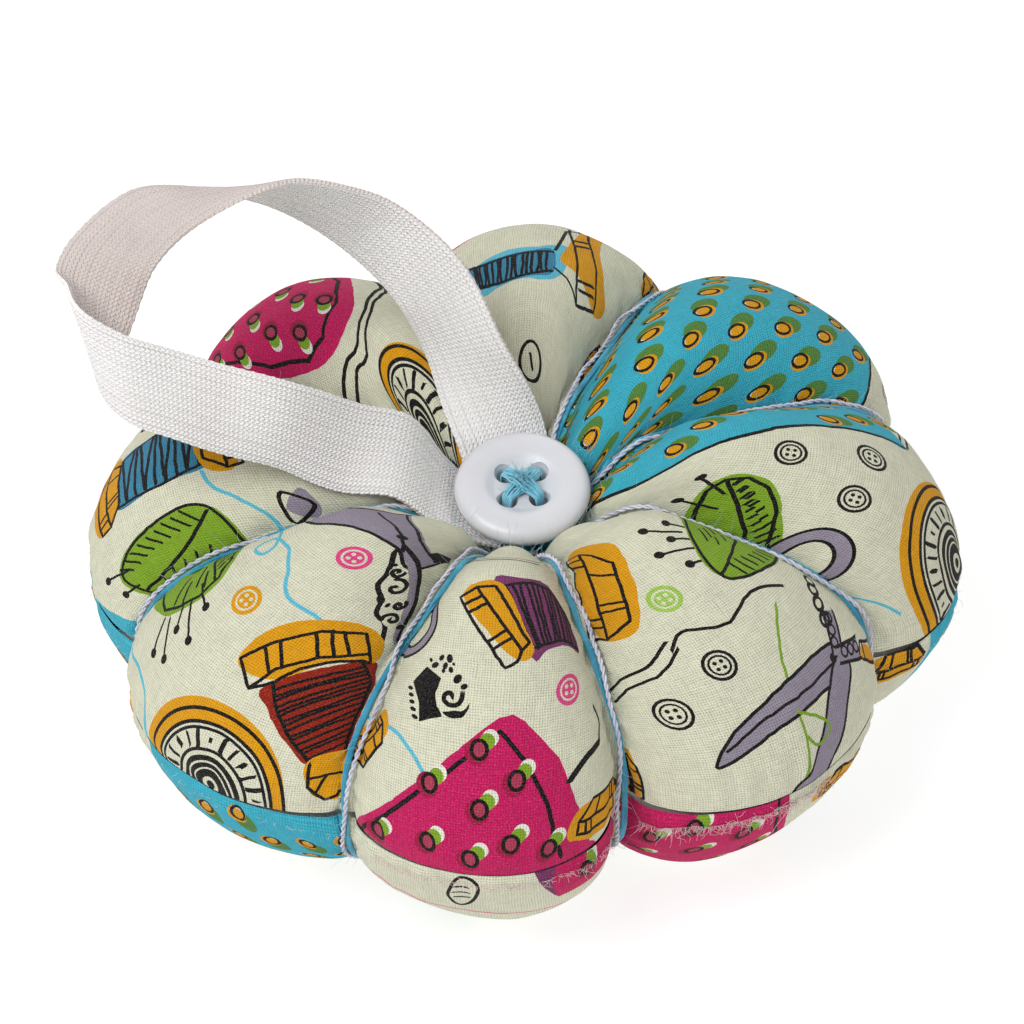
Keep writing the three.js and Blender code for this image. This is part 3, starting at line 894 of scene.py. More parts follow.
def print_lobe_3(pen, under):
    edge = [
        (0, 62), (-1, 54), (-2.6, 44.6), (-1.9, 39), (-0.4, 33.4), (2.1, 27.8), (3.7, 22.8), (5, 17.4),
        (6.4, 12.6),
    ]
    pen.fill("teal", [*edge, (14, 14.5), (24, 9), (24, 62)], True)

    def beyond(x, y):
        border = np.interp(y, [10, 17, 23, 28, 33, 39, 45, 62], [9, 6.4, 5.2, 3.6, 1, -0.6, -1, 0])
        return x > border and y > 15 - x / 6

    teal_dots(pen, (-2, 12), (19, 60), beyond)
    pen.line(edge, width=0.5)
    drawing(
        pen,
        "lime",
        [
            (-17, 32.4), (-12.6, 33.9), (-9, 34.9), (-6.6, 34.2), (-6, 32), (-7.2, 29.2),
            (-10.4, 26.6), (-17, 23.4),
        ],
        [
            [
                (-17, 31.6), (-12.4, 33.3), (-8.8, 34.5), (-7, 33.8), (-6.5, 31.8), (-7.7, 29.4),
                (-10.8, 26.9), (-17, 24),
            ],
            [(-17, 26), (-14, 27.9), (-10.6, 30.6), (-7, 33.6)],
        ],
    )
    for i in range(10):
        x = -15.8 + 0.92 * i
        for share in (0.2, 0.62):
            base = mix(25, 32.6, i / 9) + mix(1.8, 0.2, i / 9) * (share - 0.5) * 2
            pen.stroke([(x, base), (x + 0.8, base - 0.3)], 0.38)
    pins(pen, [(-10.6, 35.8), (-6.6, 36.2)], [(-11.3, 32), (-8.9, 32.8)])
    button(pen.at((-2.6, 28.8)))
    button(pen.at((-7.2, 20.4), size=1.05))
    button(pen.at((-0.3, 19.3), size=1.05))
    pen.ring((-17.4, 19.4), 5, 3.6, 1.8, "lilac", 24)
    pen.ring((-17.4, 19.4), 5.8, 4.4, turn=24)
    pen.ring((-17.4, 19.4), 4, 2.6, turn=24)
    spool_end(pen.at((-5, 3.8)))
    double_line(pen, [(7, 12), (12, 9), (16, 3), (17, -1)], (1.2, 0.6))
    spool(pen.at((15.6, 8), -60, 0.5), "lime", 7, 6)
    flange(under.at((-17.4, -1.3), 88, 0.6))
    under.fill("teal", [(-13, 2), (1, 2), (3, -5), (-3, -14), (-14, -13)])
    teal_dots(under, (-12, -12), (0, -1))
    button(under.at((9, -8)))
    scissors(under.at((4, -20), 20, 0.8))
    pen.line([(-23, 12), (-19, 9), (-17, 5)], "aqua", 0.45)


def print_lobe_4(pen, under):
    edge = [(-30, 10.4), (-19, 10.2), (-13, 9.6), (-9.9, 8), (-8, 4.6), (-7, -2)]
    pen.fill("teal", [*edge, (30, -2), (30, 70), (-30, 70)])
    teal_dots(pen, (-24, -2), (24, 60), lambda x, y: y > 11 or x > -6)
    pen.line(edge, width=0.5)
    button(pen.at((-14, 4)))
    under.fill("teal", [(-4, 2), (30, 2), (30, -12), (14, -16), (-2, -10)])
    teal_dots(under, (-2, -13), (24, -1))
    spool(under.at((-8, -14), 70, 0.9), "brick")
    spool_end(under.at((6, -26), size=0.7))


def print_lobe_5(pen, under):
    pen.fill("aqua", [
        (-4, 26), (-4.2, 30.2), (-2.8, 33.6), (0, 34.9), (6.6, 33), (9, 27), (6, 27.4), (0, 28.2),
        (-2, 27.2),
    ], True)
    upper = [(-2.6, 32.4), (0, 34.1), (3, 34), (6, 32), (8.4, 29.6), (10.6, 26)]
    wound(pen, "slate", upper, [(-2.4, 28.6), (0, 29.4), (3, 29.5), (6, 28.2), (8.6, 26), (10.6, 23)], 22)
    drawing(
        pen,
        "ochre",
        [
            (-12.4, 28), (-10.4, 30.6), (-5.8, 29.6), (-3.4, 29.6), (-4, 26), (-5, 21), (-5.6, 14),
            (-8, 14), (-8.3, 21), (-9.8, 25),
        ],
        [
            [(-2.8, 31.6), (-4.6, 31.8), (-7.2, 33.3), (-10.6, 30.3), (-8.2, 25.2), (-6.5, 20), (-6, 14)],
            [(-7.2, 33.3), (-6.4, 32), (-5.4, 27), (-4.1, 20.8), (-4, 18)],
            [(-2.6, 28), (-3.3, 24.4), (-3.7, 20.4), (-5.2, 17.6), (-5, 14)],
            [(-9.4, 29.4), (-6.7, 31.4)],
            [(-8.8, 28.4), (-6.3, 30.4)],
            [(-6.9, 21.8), (-4.9, 24.4)],
            [(-6.5, 20.8), (-4.5, 23.2)],
        ],
    )
    pen.ring((-0.6, 46), 1.3, 2.4)
    pen.line([(-0.8, 47), (-0.4, 45)], width=0.3)
    flange(pen.at((-16.4, 10.4), 10, 0.9))
    flange(pen.at((-17, 32), 30, 0.6))
    pink_patch(
        pen,
        [(2, -2), (1, 8), (5, 15), (13, 15.6), (24, 10), (24, -2)],
        [(3.6, -1), (2.8, 7), (6, 13), (13, 13.8), (22, 9)],
        [(6, 9), (11, 10.6), (8, 4), (14, 5.4), (17, 9.6), (11, -0.4), (19, 1)],
    )
    green_cushion(pen.at((-7, 6), -8, 0.95))
    button(pen.at((-1.4, 12)), "leaf")
    pen.line([(-16, 4), (-10, 3), (-6, 5), (-2, 2), (1, -1)], "aqua", 0.46)
    spool_end(under.at((-7, -10), size=0.9))
    scissors(under.at((9, -18), 200, 0.8))
    under.line([(-18, -3), (-10, -1.6), (-2, -3), (6, -2), (14, -5)])


def print_lobe_6(pen, under):
    spool_end(pen.at((6, 45.6), size=0.95))
    double_line(pen, [
        (-9.3, 12), (-6.8, 23.4), (-1.8, 29.4), (0.8, 32), (4.5, 33.7), (7.6, 32.1), (14, 30),
    ], (0.2, 1.3))
    pink_patch(
        pen,
        [
            (-8, 10), (-6, 18), (-2, 26), (1, 30.4), (4.5, 31.4), (8, 30), (11.6, 26), (14.6, 19),
            (15, 8), (5, 3), (-4, 4),
        ],
        [(-6, 12), (-2.6, 22), (1.4, 27.6), (6, 28.8), (9.6, 27), (12.6, 21), (13.4, 12)],
        [
            (1.7, 25.6), (7, 25.4), (2.9, 21.6), (8.4, 20.8), (1.8, 16.6), (7, 16.2), (11.8, 15.6),
            (-2.6, 17.6), (-3, 11),
        ],
    )
    for dot in ((2.6, 11), (8, 10.6), (12.4, 10)):
        pink_dot(pen.at(dot))
    spool(pen.at((-12, 6), 60, 0.8), "brick")
    button(pen.at((-5, 0.4)))
    flange(pen.at((17, 2), 80, 0.8))
    green_cushion(under.at((-6, -9), 170, 0.9))
    under.line([(-14, -16), (-4, -15), (4, -18), (12, -14)], "aqua", 0.46)
    button(under.at((9, -6)), "ochre")
    flange(under.at((6, -26), 30))


def print_lobe_7(pen, under):
    spool(pen.at((2.2, 16.6), 96, 1.0), "slate", 13, 14)
    pen.line([(6.8, 22.4), (9, 23.1), (11.5, 25.9), (14, 27.3), (18, 27)], "aqua", 0.5)
    pen.fill("lilac", [(9.6, 31.4), (12, 32), (14, 31), (12.4, 29)], True)
    pen.line([(10.2, 29.6), (12, 31.6), (14.4, 29), (12, 28.8)], closed=True)
    green_cushion(pen.at((16.6, 15.4), -72, 1.22))
    pins(pen, [(17.6, 5.6), (14.4, 5)], [(18, 8.4), (15.6, 8.6)])
    spool_end(pen.at((-14, 26), size=0.7))
    button(pen.at((-8, 12)))
    button(pen.at((-12, 17)), "pink")
    pen.line([(-20, 4), (-14, 6), (-8, 3), (-4, 6)])
    dress_form(pen.at((-9, 36), 20, 0.8))
    pen.fill("teal", [(9, 2), (12, 0.6), (18, 2), (22, 3), (22, -2), (9, -2)])
    under.fill("teal", [(2, 2), (4, -5), (14, -9), (26, -8), (26, 2)])
    teal_dots(under, (4, -8), (22, -0.6))
    flange(under.at((-6, -5), 60))
    scissors(under.at((0, -18), 30, 0.75))
    spool(under.at((-13, -14), 80, 0.6), "purple")


def print_lobe_8(pen, under):
    handle = [
        (-14, 32.8), (-9.9, 31.2), (-6.1, 31.8), (-1.8, 34.3), (1.4, 35.9), (5.1, 35.6), (8.3, 34),
        (12, 36.5),
    ]
    pen.fill("lilac", [
        *handle, (8.9, 37), (5.4, 39.6), (2, 43), (-1.8, 45.4), (-3, 41), (-5, 36.8), (-9.6, 35),
        (-14, 36.6),
    ])
    pen.line(handle)
    pen.line([(-1.8, 44.6), (2, 42.4), (5.4, 39), (8.9, 36.8), (12.4, 36.4)])
    pen.line([(-1.8, 40), (1.4, 39.6), (4.6, 37), (6, 35.4)])
    pen.line([(-13.6, 36.4), (-9, 35), (-5, 36.6), (-2.6, 40.6), (-2, 46)])
    pen.disc("black", (3.9, 37.8), 0.6)
    pen.fill("black", [(8.3, 38.6), (11.4, 38.2), (12.4, 36.6), (10.4, 35.7), (8.2, 36.8)])
    arm = [(5.4, 36.4), (8.9, 34.7), (11.8, 32), (13.8, 28.6), (15.2, 25.4)]
    inner = [(5.4, 34.9), (7, 32.6), (7.6, 30.6), (9.4, 29.2), (10.2, 27.6), (12, 26.8), (13.4, 24.8)]
    pen.fill("lilac", [*arm, (14, 26), (12.6, 28.8), (10.8, 31.4), (8.4, 33.8)], True)
    pen.line(arm, width=0.55)
    pen.line(inner, width=0.55)
    for x, y, turn, size in (
        (7.8, 33, 0, 0.8), (9.3, 31.2, 120, 1.3), (11.4, 29.6, 60, 0.75), (12.2, 27.7, 200, 1.05),
    ):
        scroll = pen.at((x, y), turn, size)
        scroll.disc("cream", (0, 0), 1)
        curl(scroll, 2.2, 0.46)
        scroll.disc("black", (-1.3, 0.75), 0.46, 0.32, 30)
    button(pen.at((3.3, 32), size=1.0), "pink")
    strand = [
        (-16, 27.4), (-12.4, 28.3), (-8, 28.5), (-5.3, 27.4), (-5.4, 25.6), (-7.2, 25.4), (-7, 27.6),
        (-3.6, 28.4),
    ]
    pen.line([*strand, (-1.1, 26.8), (2, 24), (5.8, 23.7), (9.5, 23)], "aqua", 0.46)
    button(pen.at((-1.4, 20.9), size=1.05), "ochre")
    drawing(
        pen,
        "lime",
        [
            (-18, 24.4), (-11.4, 24.3), (-8.4, 23), (-6.8, 20.6), (-7, 17.4), (-9, 14.2),
            (-11.4, 12.2), (-18, 11),
        ],
        [
            [
                (-18, 23.6), (-11, 23.6), (-8.6, 22.3), (-7.4, 20.3), (-7.6, 17.4), (-9.4, 14.6),
                (-11.6, 12.8), (-18, 11.8),
            ],
            [(-18, 20), (-13, 20.6), (-9.6, 20.4), (-7.4, 19.8)],
            [(-12, 19.4), (-9.4, 17.6)],
            [(-11.4, 17.2), (-9.2, 15.2)],
            [(-13, 17), (-10.6, 14.2)],
            [(-10.4, 19.6), (-8.2, 18.4)],
        ],
    )
    for i in range(9):
        pen.stroke([(-16 + 0.9 * i, 23.2 - 0.06 * i), (-15.7 + 0.9 * i, 22.1)], 0.38)
        pen.stroke([(-15.6 + 0.9 * i, 21.8), (-15.2 + 0.9 * i, 20.9)], 0.38)
    heads = [(-5.4, 17.3), (-4.4, 13.4), (-7.1, 13.1), (-6.3, 9.8), (-8.6, 9)]
    pins(pen, heads, [(-9, 18.4), (-8.2, 16.6), (-9, 15.6), (-9.4, 13), (-10.4, 12.4)])
    upper = [(13.6, 21.4), (15.6, 20.2), (16.8, 17.6), (17.8, 13.6), (18.8, 9.2)]
    wound(pen, "brick", upper, [(7.7, 15), (9.4, 12.7), (11.4, 10.8), (13.6, 8.9), (16, 7)], 15)
    drawing(
        pen,
        "ochre",
        [
            (3.2, 14.8), (2.8, 17.6), (4, 20.8), (6.6, 23.5), (10.6, 25.6), (13.8, 24.8), (14.8, 22.2),
            (11.4, 20.2), (7.7, 15.4),
        ],
        [
            [
                (7.8, 15.2), (5.8, 13.2), (3, 15.5), (4.6, 18.6), (7.8, 22.5), (11.4, 24.8),
                (14.5, 21.9), (13.4, 21.6),
            ],
            [(5.8, 13.2), (7, 16.4), (9.6, 19.6), (13.6, 22.8)],
            [(7.8, 15.2), (9, 17.6), (11.2, 20), (13.6, 21.6)],
            [(4.4, 18), (6.6, 15.8)],
            [(5.3, 19.3), (7.4, 17)],
            [(7.4, 22.2), (9.6, 19.6)],
            [(8.6, 23.1), (10.8, 20.6)],
            [(9.6, 23.8), (11.9, 21.5)],
        ],
    )
    drawing(
        pen,
        "ochre",
        [(15.6, 7.4), (19, 9.2), (21.4, 8), (21.4, 2.6), (18.6, 1.6), (16.4, 3.6)],
        [
            [(15.9, 7), (16.5, 3.6), (18.7, 1.5), (21.4, 3)],
            [(16.3, 4.8), (18.6, 5.4), (21.4, 5.2)],
            [(17.5, 2.7), (18.3, 5.3)],
        ],
    )
    spool_end(pen.at((5.3, 0.5), size=0.97))
    pen.line([(-20, 7), (-14, 5), (-9.9, 5.9), (-6, 3.4), (-4.9, 0)], "aqua", 0.46)
    under.fill("teal", [(-6, 2), (26, 2), (26, -13), (10, -17), (-3, -9)])
    teal_dots(under, (-2, -15), (22, -1.4))
    flange(under.at((-12, -6), 30, 0.9))
    spool(under.at((-6, -22), 20, 0.7), "purple")
    button(under.at((8, -22)))


PRINTS = [
    print_lobe_1,
    print_lobe_2,
    print_lobe_3,
    print_lobe_4,
    print_lobe_5,
    print_lobe_6,
    print_lobe_7,
    print_lobe_8,
]


# ---- covers --------------------------------------------------------------------------------------


def printed_mesh(panel, shapes):
    """Cuts the flat cloth along its outlines: flat points, triangles and the ink of each triangle."""
    rows, columns = panel.across.shape
    spots = panel.cloth.reshape(-1, 2)
    grid = np.arange(rows * columns).reshape(rows, columns)
    edges = []
    for border in (grid[0], grid[-1], grid[:, 0], grid[:, -1]):
        edges += zip(border[:-1].tolist(), border[1:].tolist())
    low, high = spots.min(0), spots.max(0)
    chunks = [spots]
    count = len(spots)
    for shape in shapes:
        if (shape.high < low).any() or (shape.low > high).any():
            continue
        for loop in shape.loops:
            chunks.append(loop)
            ids = list(range(count, count + len(loop)))
            edges += zip(ids, ids[1:] + ids[:1])
            count += len(loop)
    vertices = [Vector(v) for v in np.concatenate(chunks).tolist()]
    flat, _, faces, *_ = delaunay_2d_cdt(vertices, edges, [], 0, 1e-4, False)
    flat = np.array([tuple(v) for v in flat])
    faces = np.array([tuple(f) for f in faces])
    middles = flat[faces].mean(1)
    border = np.concatenate([panel.cloth[:, 0], panel.cloth[::-1, -1]])
    faces = faces[Shape("cream", border).holds(middles)]
    middles = flat[faces].mean(1)
    ink = np.zeros(len(faces), dtype=int)
    for shape in shapes:
        ink[shape.holds(middles)] = shape.ink
    used, faces = np.unique(faces, return_inverse=True)
    return flat[used], faces.reshape(-1, 3), ink


# Points along each lower lobe's seam, kept for the fray.
SEAMS = {}


def build_covers():
    for lobe in LOBES:
        over, under = [], []
        PRINTS[lobe](Pen(over), Pen(under))
        for word, upper, shapes in (("upper", True, over), ("lower", False, under)):
            panel = Panel(lobe, upper)
            flat, faces, ink = printed_mesh(panel, shapes)
            points, normals = panel.on_cloth(flat)
            SEAMS[lobe] = panel.points[SEAM_ROW]
            name = f"{word}_lobe_{lobe + 1}"
            obj = mesh_object(name, points, faces.tolist(), INKS.values(), ink, flat, normals)
            declare(obj, "cushion", "cotton", f"{word}_cover")


def build_filling():
    """The ring of stuffing inside the covers, closed through the middle hole."""
    across = np.sin(np.linspace(-math.pi / 2, math.pi / 2, FILLING_COLUMNS))[:-1]
    side, along = np.meshgrid(across, np.linspace(2, -2, FILLING_ROWS))
    outer = np.concatenate([lobe_points(lobe, side, along) for lobe in LOBES], axis=1)
    hole_wall = np.linspace(outer[-1], outer[0], HOLE_WALL_ROWS)[1:-1]
    rings = np.concatenate([outer, hole_wall])
    rows, columns = rings.shape[:2]
    round_it = np.roll(rings, -1, 1) - np.roll(rings, 1, 1)
    down = np.roll(rings, 1, 0) - np.roll(rings, -1, 0)
    points = (rings - FILLING_INSET * unit(np.cross(round_it, down))).reshape(-1, 3)
    faces = wall_faces(rows + 1, columns, inward=True)
    faces = [[corner % len(points) for corner in face] for face in faces]
    obj = mesh_object("filling_ring", points, faces, [fibre_fill()], uv=points[:, :2])
    declare(obj, "cushion", "filling", "stuffing")


def fibre_fill():
    n = Nodes("polyester_filling")
    tangle = n.noise(n.stretched(n.uv(), (1.0, 0.4, 1)), 1.4, 5.0, 0.7)
    return n.finish(n.dimmed(rgb(244, 243, 238), n.ranged(tangle, 0.3, 0.7, 0.85, 1.05)), 0.9, tangle, 0.6)


# ---- threads -------------------------------------------------------------------------------------

# How far each wrap goes, as a way: from inside the dimple to inside the hole underneath.
WRAP_TOP = 1.72
WRAP_UNDER = 1.85
WRAP_SAMPLES = 400
FLOSS_STRANDS = 11
FLOSS_STRAND_RADIUS = 0.11
FLOSS_SPREAD = 0.22
FLOSS_LIFT = 0.2
FLOSS_TURN = 21
FLOSS_STEP = 0.8
PLY_RADIUS = 0.14
THREAD_LIFT = 0.4
THREAD_TURN = 2.1
THREAD_STEP = 0.24
# How far floss and thread lie from the middle of the groove, and the run in which they cross twice.
SIDE_BY_SIDE = 0.34
CROSSING = 46
FIBRE_RADIUS = 0.02
# Stray fibres: how many there are beside each wrap, and in its share of the ring round the button.
WRAP_FIBRES = 46
COLLAR_FIBRES = 36
COLLAR_RING = (7.6, 10.5)
COLLAR_HEIGHTS = (26.6, 29.4)
GOLDEN_SHARE = 0.618


class Bundle:
    """Thin round threads gathered into one mesh. Their cloth coordinates run along and round each thread."""

    def __init__(self):
        self.points = []
        self.faces = []
        self.uv = []

    def tube(self, path, radius, sides=6, taper=0.0):
        """Adds one thread with closed ends. Its taper is the share of its radius that it loses."""
        path = np.asarray(path, dtype=float)
        along = unit(np.gradient(path, axis=0))
        length = run_length(path)
        aside = np.cross(along[0], (0.3, 0.2, 1.0))
        first = len(self.points)
        last = len(path) - 1
        for i, (spot, way) in enumerate(zip(path, along)):
            aside = unit(aside - way * (aside @ way))
            other = np.cross(way, aside)
            thin = radius * (1 - taper * i / last)
            for k in range(sides):
                angle = 2 * math.pi * k / sides
                self.points.append(spot + thin * (math.cos(angle) * aside + math.sin(angle) * other))
                self.uv.append((length[i], k / sides))
        self.faces += wall_faces(len(path), sides, first)
        self.faces.append(tuple(range(first + sides - 1, first - 1, -1)))
        self.faces.append(tuple(range(first + last * sides, first + (last + 1) * sides)))

    def finish(self, name, body, slot, material, *nodes):
        declare(mesh_object(name, self.points, self.faces, [material], uv=self.uv), body, slot, *nodes)


def yarn(name, colour, second, shine):
    """Spun thread: fine fibres run along it, and its colour drifts a little."""
    n = Nodes(name)
    flat = n.uv()
    fibres = n.noise(n.stretched(flat, (0.7, 14.0, 1)), 1.0, 3.0, 0.7)
    drift = n.noise(n.stretched(flat, (0.3, 2.0, 1)), 1.0)
    colour = n.blend(n.ranged(drift, 0.35, 0.65, 0.0, 1.0), colour, second)
    tone = n.ranged(fibres, 0.3, 0.7, 0.8, 1.15)
    return n.finish(
        n.dimmed(colour, tone),
        n.ranged(fibres, 0.3, 0.7, 0.5, 0.75),
        fibres,
        0.05,
        Sheen_Weight=shine,
        Sheen_Roughness=0.4,
        Specular_IOR_Level=0.3,
    )


def resampled(path, step):
    """The path with even steps, and how far along it each new point lies."""
    length = run_length(path)
    marks = np.linspace(0, length[-1], max(3, round(length[-1] / step)))
    return np.stack([np.interp(marks, length, path[:, k]) for k in range(3)], -1), marks


def groove_line(groove, lift, side, step):
    """A line along a groove's floor, with its outward and sideways directions and the distance along it.

    The floss (side -1) and the thread (side 1) lie beside each other and change places now and then."""
    spots = groove_middle(groove, np.linspace(WRAP_TOP, -WRAP_UNDER, WRAP_SAMPLES))
    angle = math.radians(GROOVES[groove][0])
    sideways = np.array([-math.sin(angle), math.cos(angle), 0.0])
    outward = unit(np.cross(np.gradient(spots, axis=0), sideways))
    path, marks = resampled(spots + lift * outward, step)
    above, _ = resampled(spots + (lift + 1) * outward, step)
    shares, known = np.linspace(0, 1, len(path)), np.linspace(0, 1, len(above))
    above = np.stack([np.interp(shares, known, above[:, k]) for k in range(3)], -1)
    out = unit(above - path)
    swap = np.cos(2 * math.pi * marks / CROSSING + 2.1 * groove + 1)[:, None]
    path = path + side * SIDE_BY_SIDE * swap * sideways
    if side > 0:
        path = path + 0.3 * (1 - swap**2) * out
    return path, out, sideways, marks


def curled(start, way, length, seed):
    """A stray fibre that leaves start along way and curls."""
    marks = np.linspace(0, 1, 7)[:, None]
    bend = np.array([ripple(seed, 1, k, 1.3) for k in range(3)]) * 1.6
    wave = np.array([ripple(seed, 7, k, 1.1) for k in range(3)]) * 0.5
    return start + length * (way * marks + bend * marks**2 + wave * np.sin(5 * marks))


def lay_floss(groove, look):
    """Loose strands of floss that turn slowly round their line."""
    path, out, side, marks = groove_line(groove, FLOSS_LIFT, -1, FLOSS_STEP)
    floss = Bundle()
    for strand in range(FLOSS_STRANDS):
        angle = 2 * math.pi * (strand / FLOSS_STRANDS + marks / FLOSS_TURN)
        loose = np.array([ripple(m, strand * 5, groove * 9, 5) for m in marks])
        spread = FLOSS_SPREAD * (1 + 0.5 * loose)
        lift = 0.75 * spread * np.sin(angle)
        drift = 1.1 * spread * np.cos(angle) + 0.1 * loose
        floss.tube(path + lift[:, None] * out + drift[:, None] * side, FLOSS_STRAND_RADIUS)
    number = groove + 1
    floss.finish(f"floss_wrap_strands_{number}", "cushion", "floss", look, f"floss_wrap_{number}")


def lay_thread(groove, look):
    """Two twisted plies. Gives back their path with its directions."""
    path, out, side, marks = groove_line(groove, THREAD_LIFT, 1, THREAD_STEP)
    stray = np.array([ripple(m, 3, groove * 7, 7) for m in marks])
    path = path + (0.8 * stray)[:, None] * side + (0.5 * np.abs(stray))[:, None] * out
    thread = Bundle()
    for ply in range(2):
        angle = 2 * math.pi * (ply / 2 + marks / THREAD_TURN)
        turn = np.sin(angle)[:, None] * out + np.cos(angle)[:, None] * side
        thread.tube(path + PLY_RADIUS * turn, PLY_RADIUS, 5)
    number = groove + 1
    thread.finish(f"thread_wrap_plies_{number}", "cushion", "thread", look, f"thread_wrap_{number}")
    return path, out, side


def scatter_fibres(groove, path, out, side, look):
    """Stray fibres along the upper part of a wrap and round the button at its end."""
    fluff = Bundle()
    for k in range(WRAP_FIBRES):
        at = round(mix(8, len(path) * 0.62, k / WRAP_FIBRES))
        seed = groove * 100 + k * 3.7
        lean = ripple(seed, 2, 9, 1.2) * 2.4
        way = unit(out[at] * 0.5 + side * lean + 0.6 * unit(path[at + 1] - path[at]))
        fluff.tube(curled(path[at], way, 1.2 + abs(lean), seed), FIBRE_RADIUS, 3, 0.5)
    for k in range(COLLAR_FIBRES):
        seed = groove * 60 + k * 2.3
        share = (k * GOLDEN_SHARE) % 1
        angle = math.radians(GROOVES[groove][0]) + 0.4 * math.sin(1.9 * k)
        start = round_tie(mix(*COLLAR_RING, share), mix(*COLLAR_HEIGHTS, share), angle)
        way = unit(np.array([ripple(seed, 4, 1, 1.0), ripple(seed, 6, 2, 1.0), 0.3]))
        fluff.tube(curled(start, way, 2.6, seed), FIBRE_RADIUS * 1.4, 3, 0.4)
    fluff.finish(f"stray_fibres_{groove + 1}", "cushion", "thread", look)


def build_wraps():
    floss_look = yarn("floss_turquoise", rgb(82, 178, 206), rgb(48, 142, 178), 0.4)
    thread_look = yarn("thread_white", rgb(232, 230, 240), rgb(186, 188, 212), 0.3)
    fluff_look = yarn("stray_fibres", rgb(120, 200, 222), rgb(232, 240, 244), 0.2)
    for groove in LOBES:
        lay_floss(groove, floss_look)
        path, out, side = lay_thread(groove, thread_look)
        scatter_fibres(groove, path, out, side, fluff_look)


# Along a lobe's seam: where its fibres start and stop, how far apart they are and how much they grow.
FRAYED = {1: (0.05, 0.56, 0.1, 2.4), 0: (0.14, 0.9, 0.2, 0.7)}
WHOLE = (0.02, 0.98, 1.1, 0.4)


def build_fray():
    """Fluff along the seam, thick and long where the cloth's raw edge is torn."""
    look = yarn("frayed_cotton", rgb(242, 230, 224), rgb(236, 190, 200), 0.2)
    for lobe in LOBES:
        first, last, step, growth = FRAYED.get(lobe, WHOLE)
        edge, _ = resampled(SEAMS[lobe], step)
        torn = lobe in FRAYED
        fray = Bundle()
        for k, spot in enumerate(edge):
            if not first < k / len(edge) < last:
                continue
            seed = 300 + 50 * lobe + 1.7 * k
            outward = unit((spot - TIE) * (1, 1, 0))
            along = np.array([-outward[1], outward[0], 0]) * ripple(seed, 3, 5, 1.0) * 3
            rise = 1.2 * ripple(seed, 8, 2, 1.0) - (0.35 if torn else 0)
            way = unit(outward * 0.25 + along + (0, 0, rise))
            long = 0.7 + growth * abs(ripple(seed, 4, 4, 1.0))
            strand = curled(spot + outward * 0.1, way, long, seed)
            over = np.maximum(0, (strand - spot) @ outward - 0.5)
            strand = strand - over[:, None] * 0.8 * outward
            strand[:, 2] = np.maximum(strand[:, 2], 0.3)
            fray.tube(strand, FIBRE_RADIUS * (1.5 if torn else 1.1), 3, 0.4)
        fray.finish(f"seam_fray_{lobe + 1}", "cushion", "cotton", look)


TIE_STRANDS = 7
TIE_STRAND_RADIUS = 0.46
TIE_SPREAD = 0.95
TIE_ENDS = (3.4, 24.6)
KNOT_Z = 2.1
KNOT_STRAND_RADIUS = 0.36
KNOT_TAILS = 4
KNOT_TAIL_RADIUS = 0.17


def build_tie():
    """One straight strand with six wound round it, and a trefoil knot with loose tails under them."""
    look = yarn("tie_turquoise", rgb(40, 168, 200), rgb(20, 136, 178), 0.4)
    tie = Bundle()
    marks = np.linspace(0, 1, 40)
    for strand in range(TIE_STRANDS):
        angle = 2 * math.pi * (strand / TIE_STRANDS + 1.4 * marks)
        spread = TIE_SPREAD if strand else 0.0
        tie.tube(round_tie(spread, mix(*TIE_ENDS, marks), angle), TIE_STRAND_RADIUS, 8)
    tie.finish("tie_strands", "cushion", "floss", look, "centre_tie")

    knot = Bundle()
    turn = np.linspace(0, 2 * math.pi, 91)[:-1]
    for spread in (0.0, 0.34):
        wide = 1.0 + 0.45 * np.cos(3 * turn) + spread
        height = KNOT_Z + 0.75 * np.sin(3 * turn) + spread
        knot.tube(round_tie(wide, height, 2 * turn), KNOT_STRAND_RADIUS, 8)
    for k in range(KNOT_TAILS):
        angle = 0.6 + k * 1.4
        way = np.array([math.cos(angle), math.sin(angle), -0.12])
        tail = curled(TIE + (0, 0, KNOT_Z - 0.2), way, 4.5, k * 2.9)
        tail[:, 2] = np.maximum(tail[:, 2], 0.4)
        knot.tube(tail, KNOT_TAIL_RADIUS, 6)
    knot.finish("knot_strands", "cushion", "floss", look, "base_knot")


# ---- button --------------------------------------------------------------------------------------

BUTTON_THICKNESS = 3
BUTTON_TILT = 13.5
BUTTON_ASIDE = 0.4
BUTTON_TOP_Z = 31.8
BUTTON_SECTION = [
    (0, 0),
    (5.4, 0),
    (6.2, 0.12),
    (6.85, 0.5),
    (7.28, 1.05),
    (7.5, 1.7),
    (7.42, 2.15),
    (7.15, 2.6),
    (6.7, 2.88),
    (6.1, 3),
    (5.4, 2.99),
    (4.6, 2.94),
    (4.1, 2.82),
    (3.7, 2.6),
    (3.3, 2.36),
    (2.9, 2.24),
    (0, 2.2),
]
BUTTON_SIDES = 160
BUTTON_CORNER = 50
HOLE_SIDES = 40
HOLE_TURN = 49
HOLE_SPACING = 3.5
HOLE_SECTION = [
    (0, -2),
    (0.98, -2),
    (0.98, 1.55),
    (1.02, 1.85),
    (1.1, 2.08),
    (1.24, 2.3),
    (1.3, 3.4),
    (0, 3.4),
]


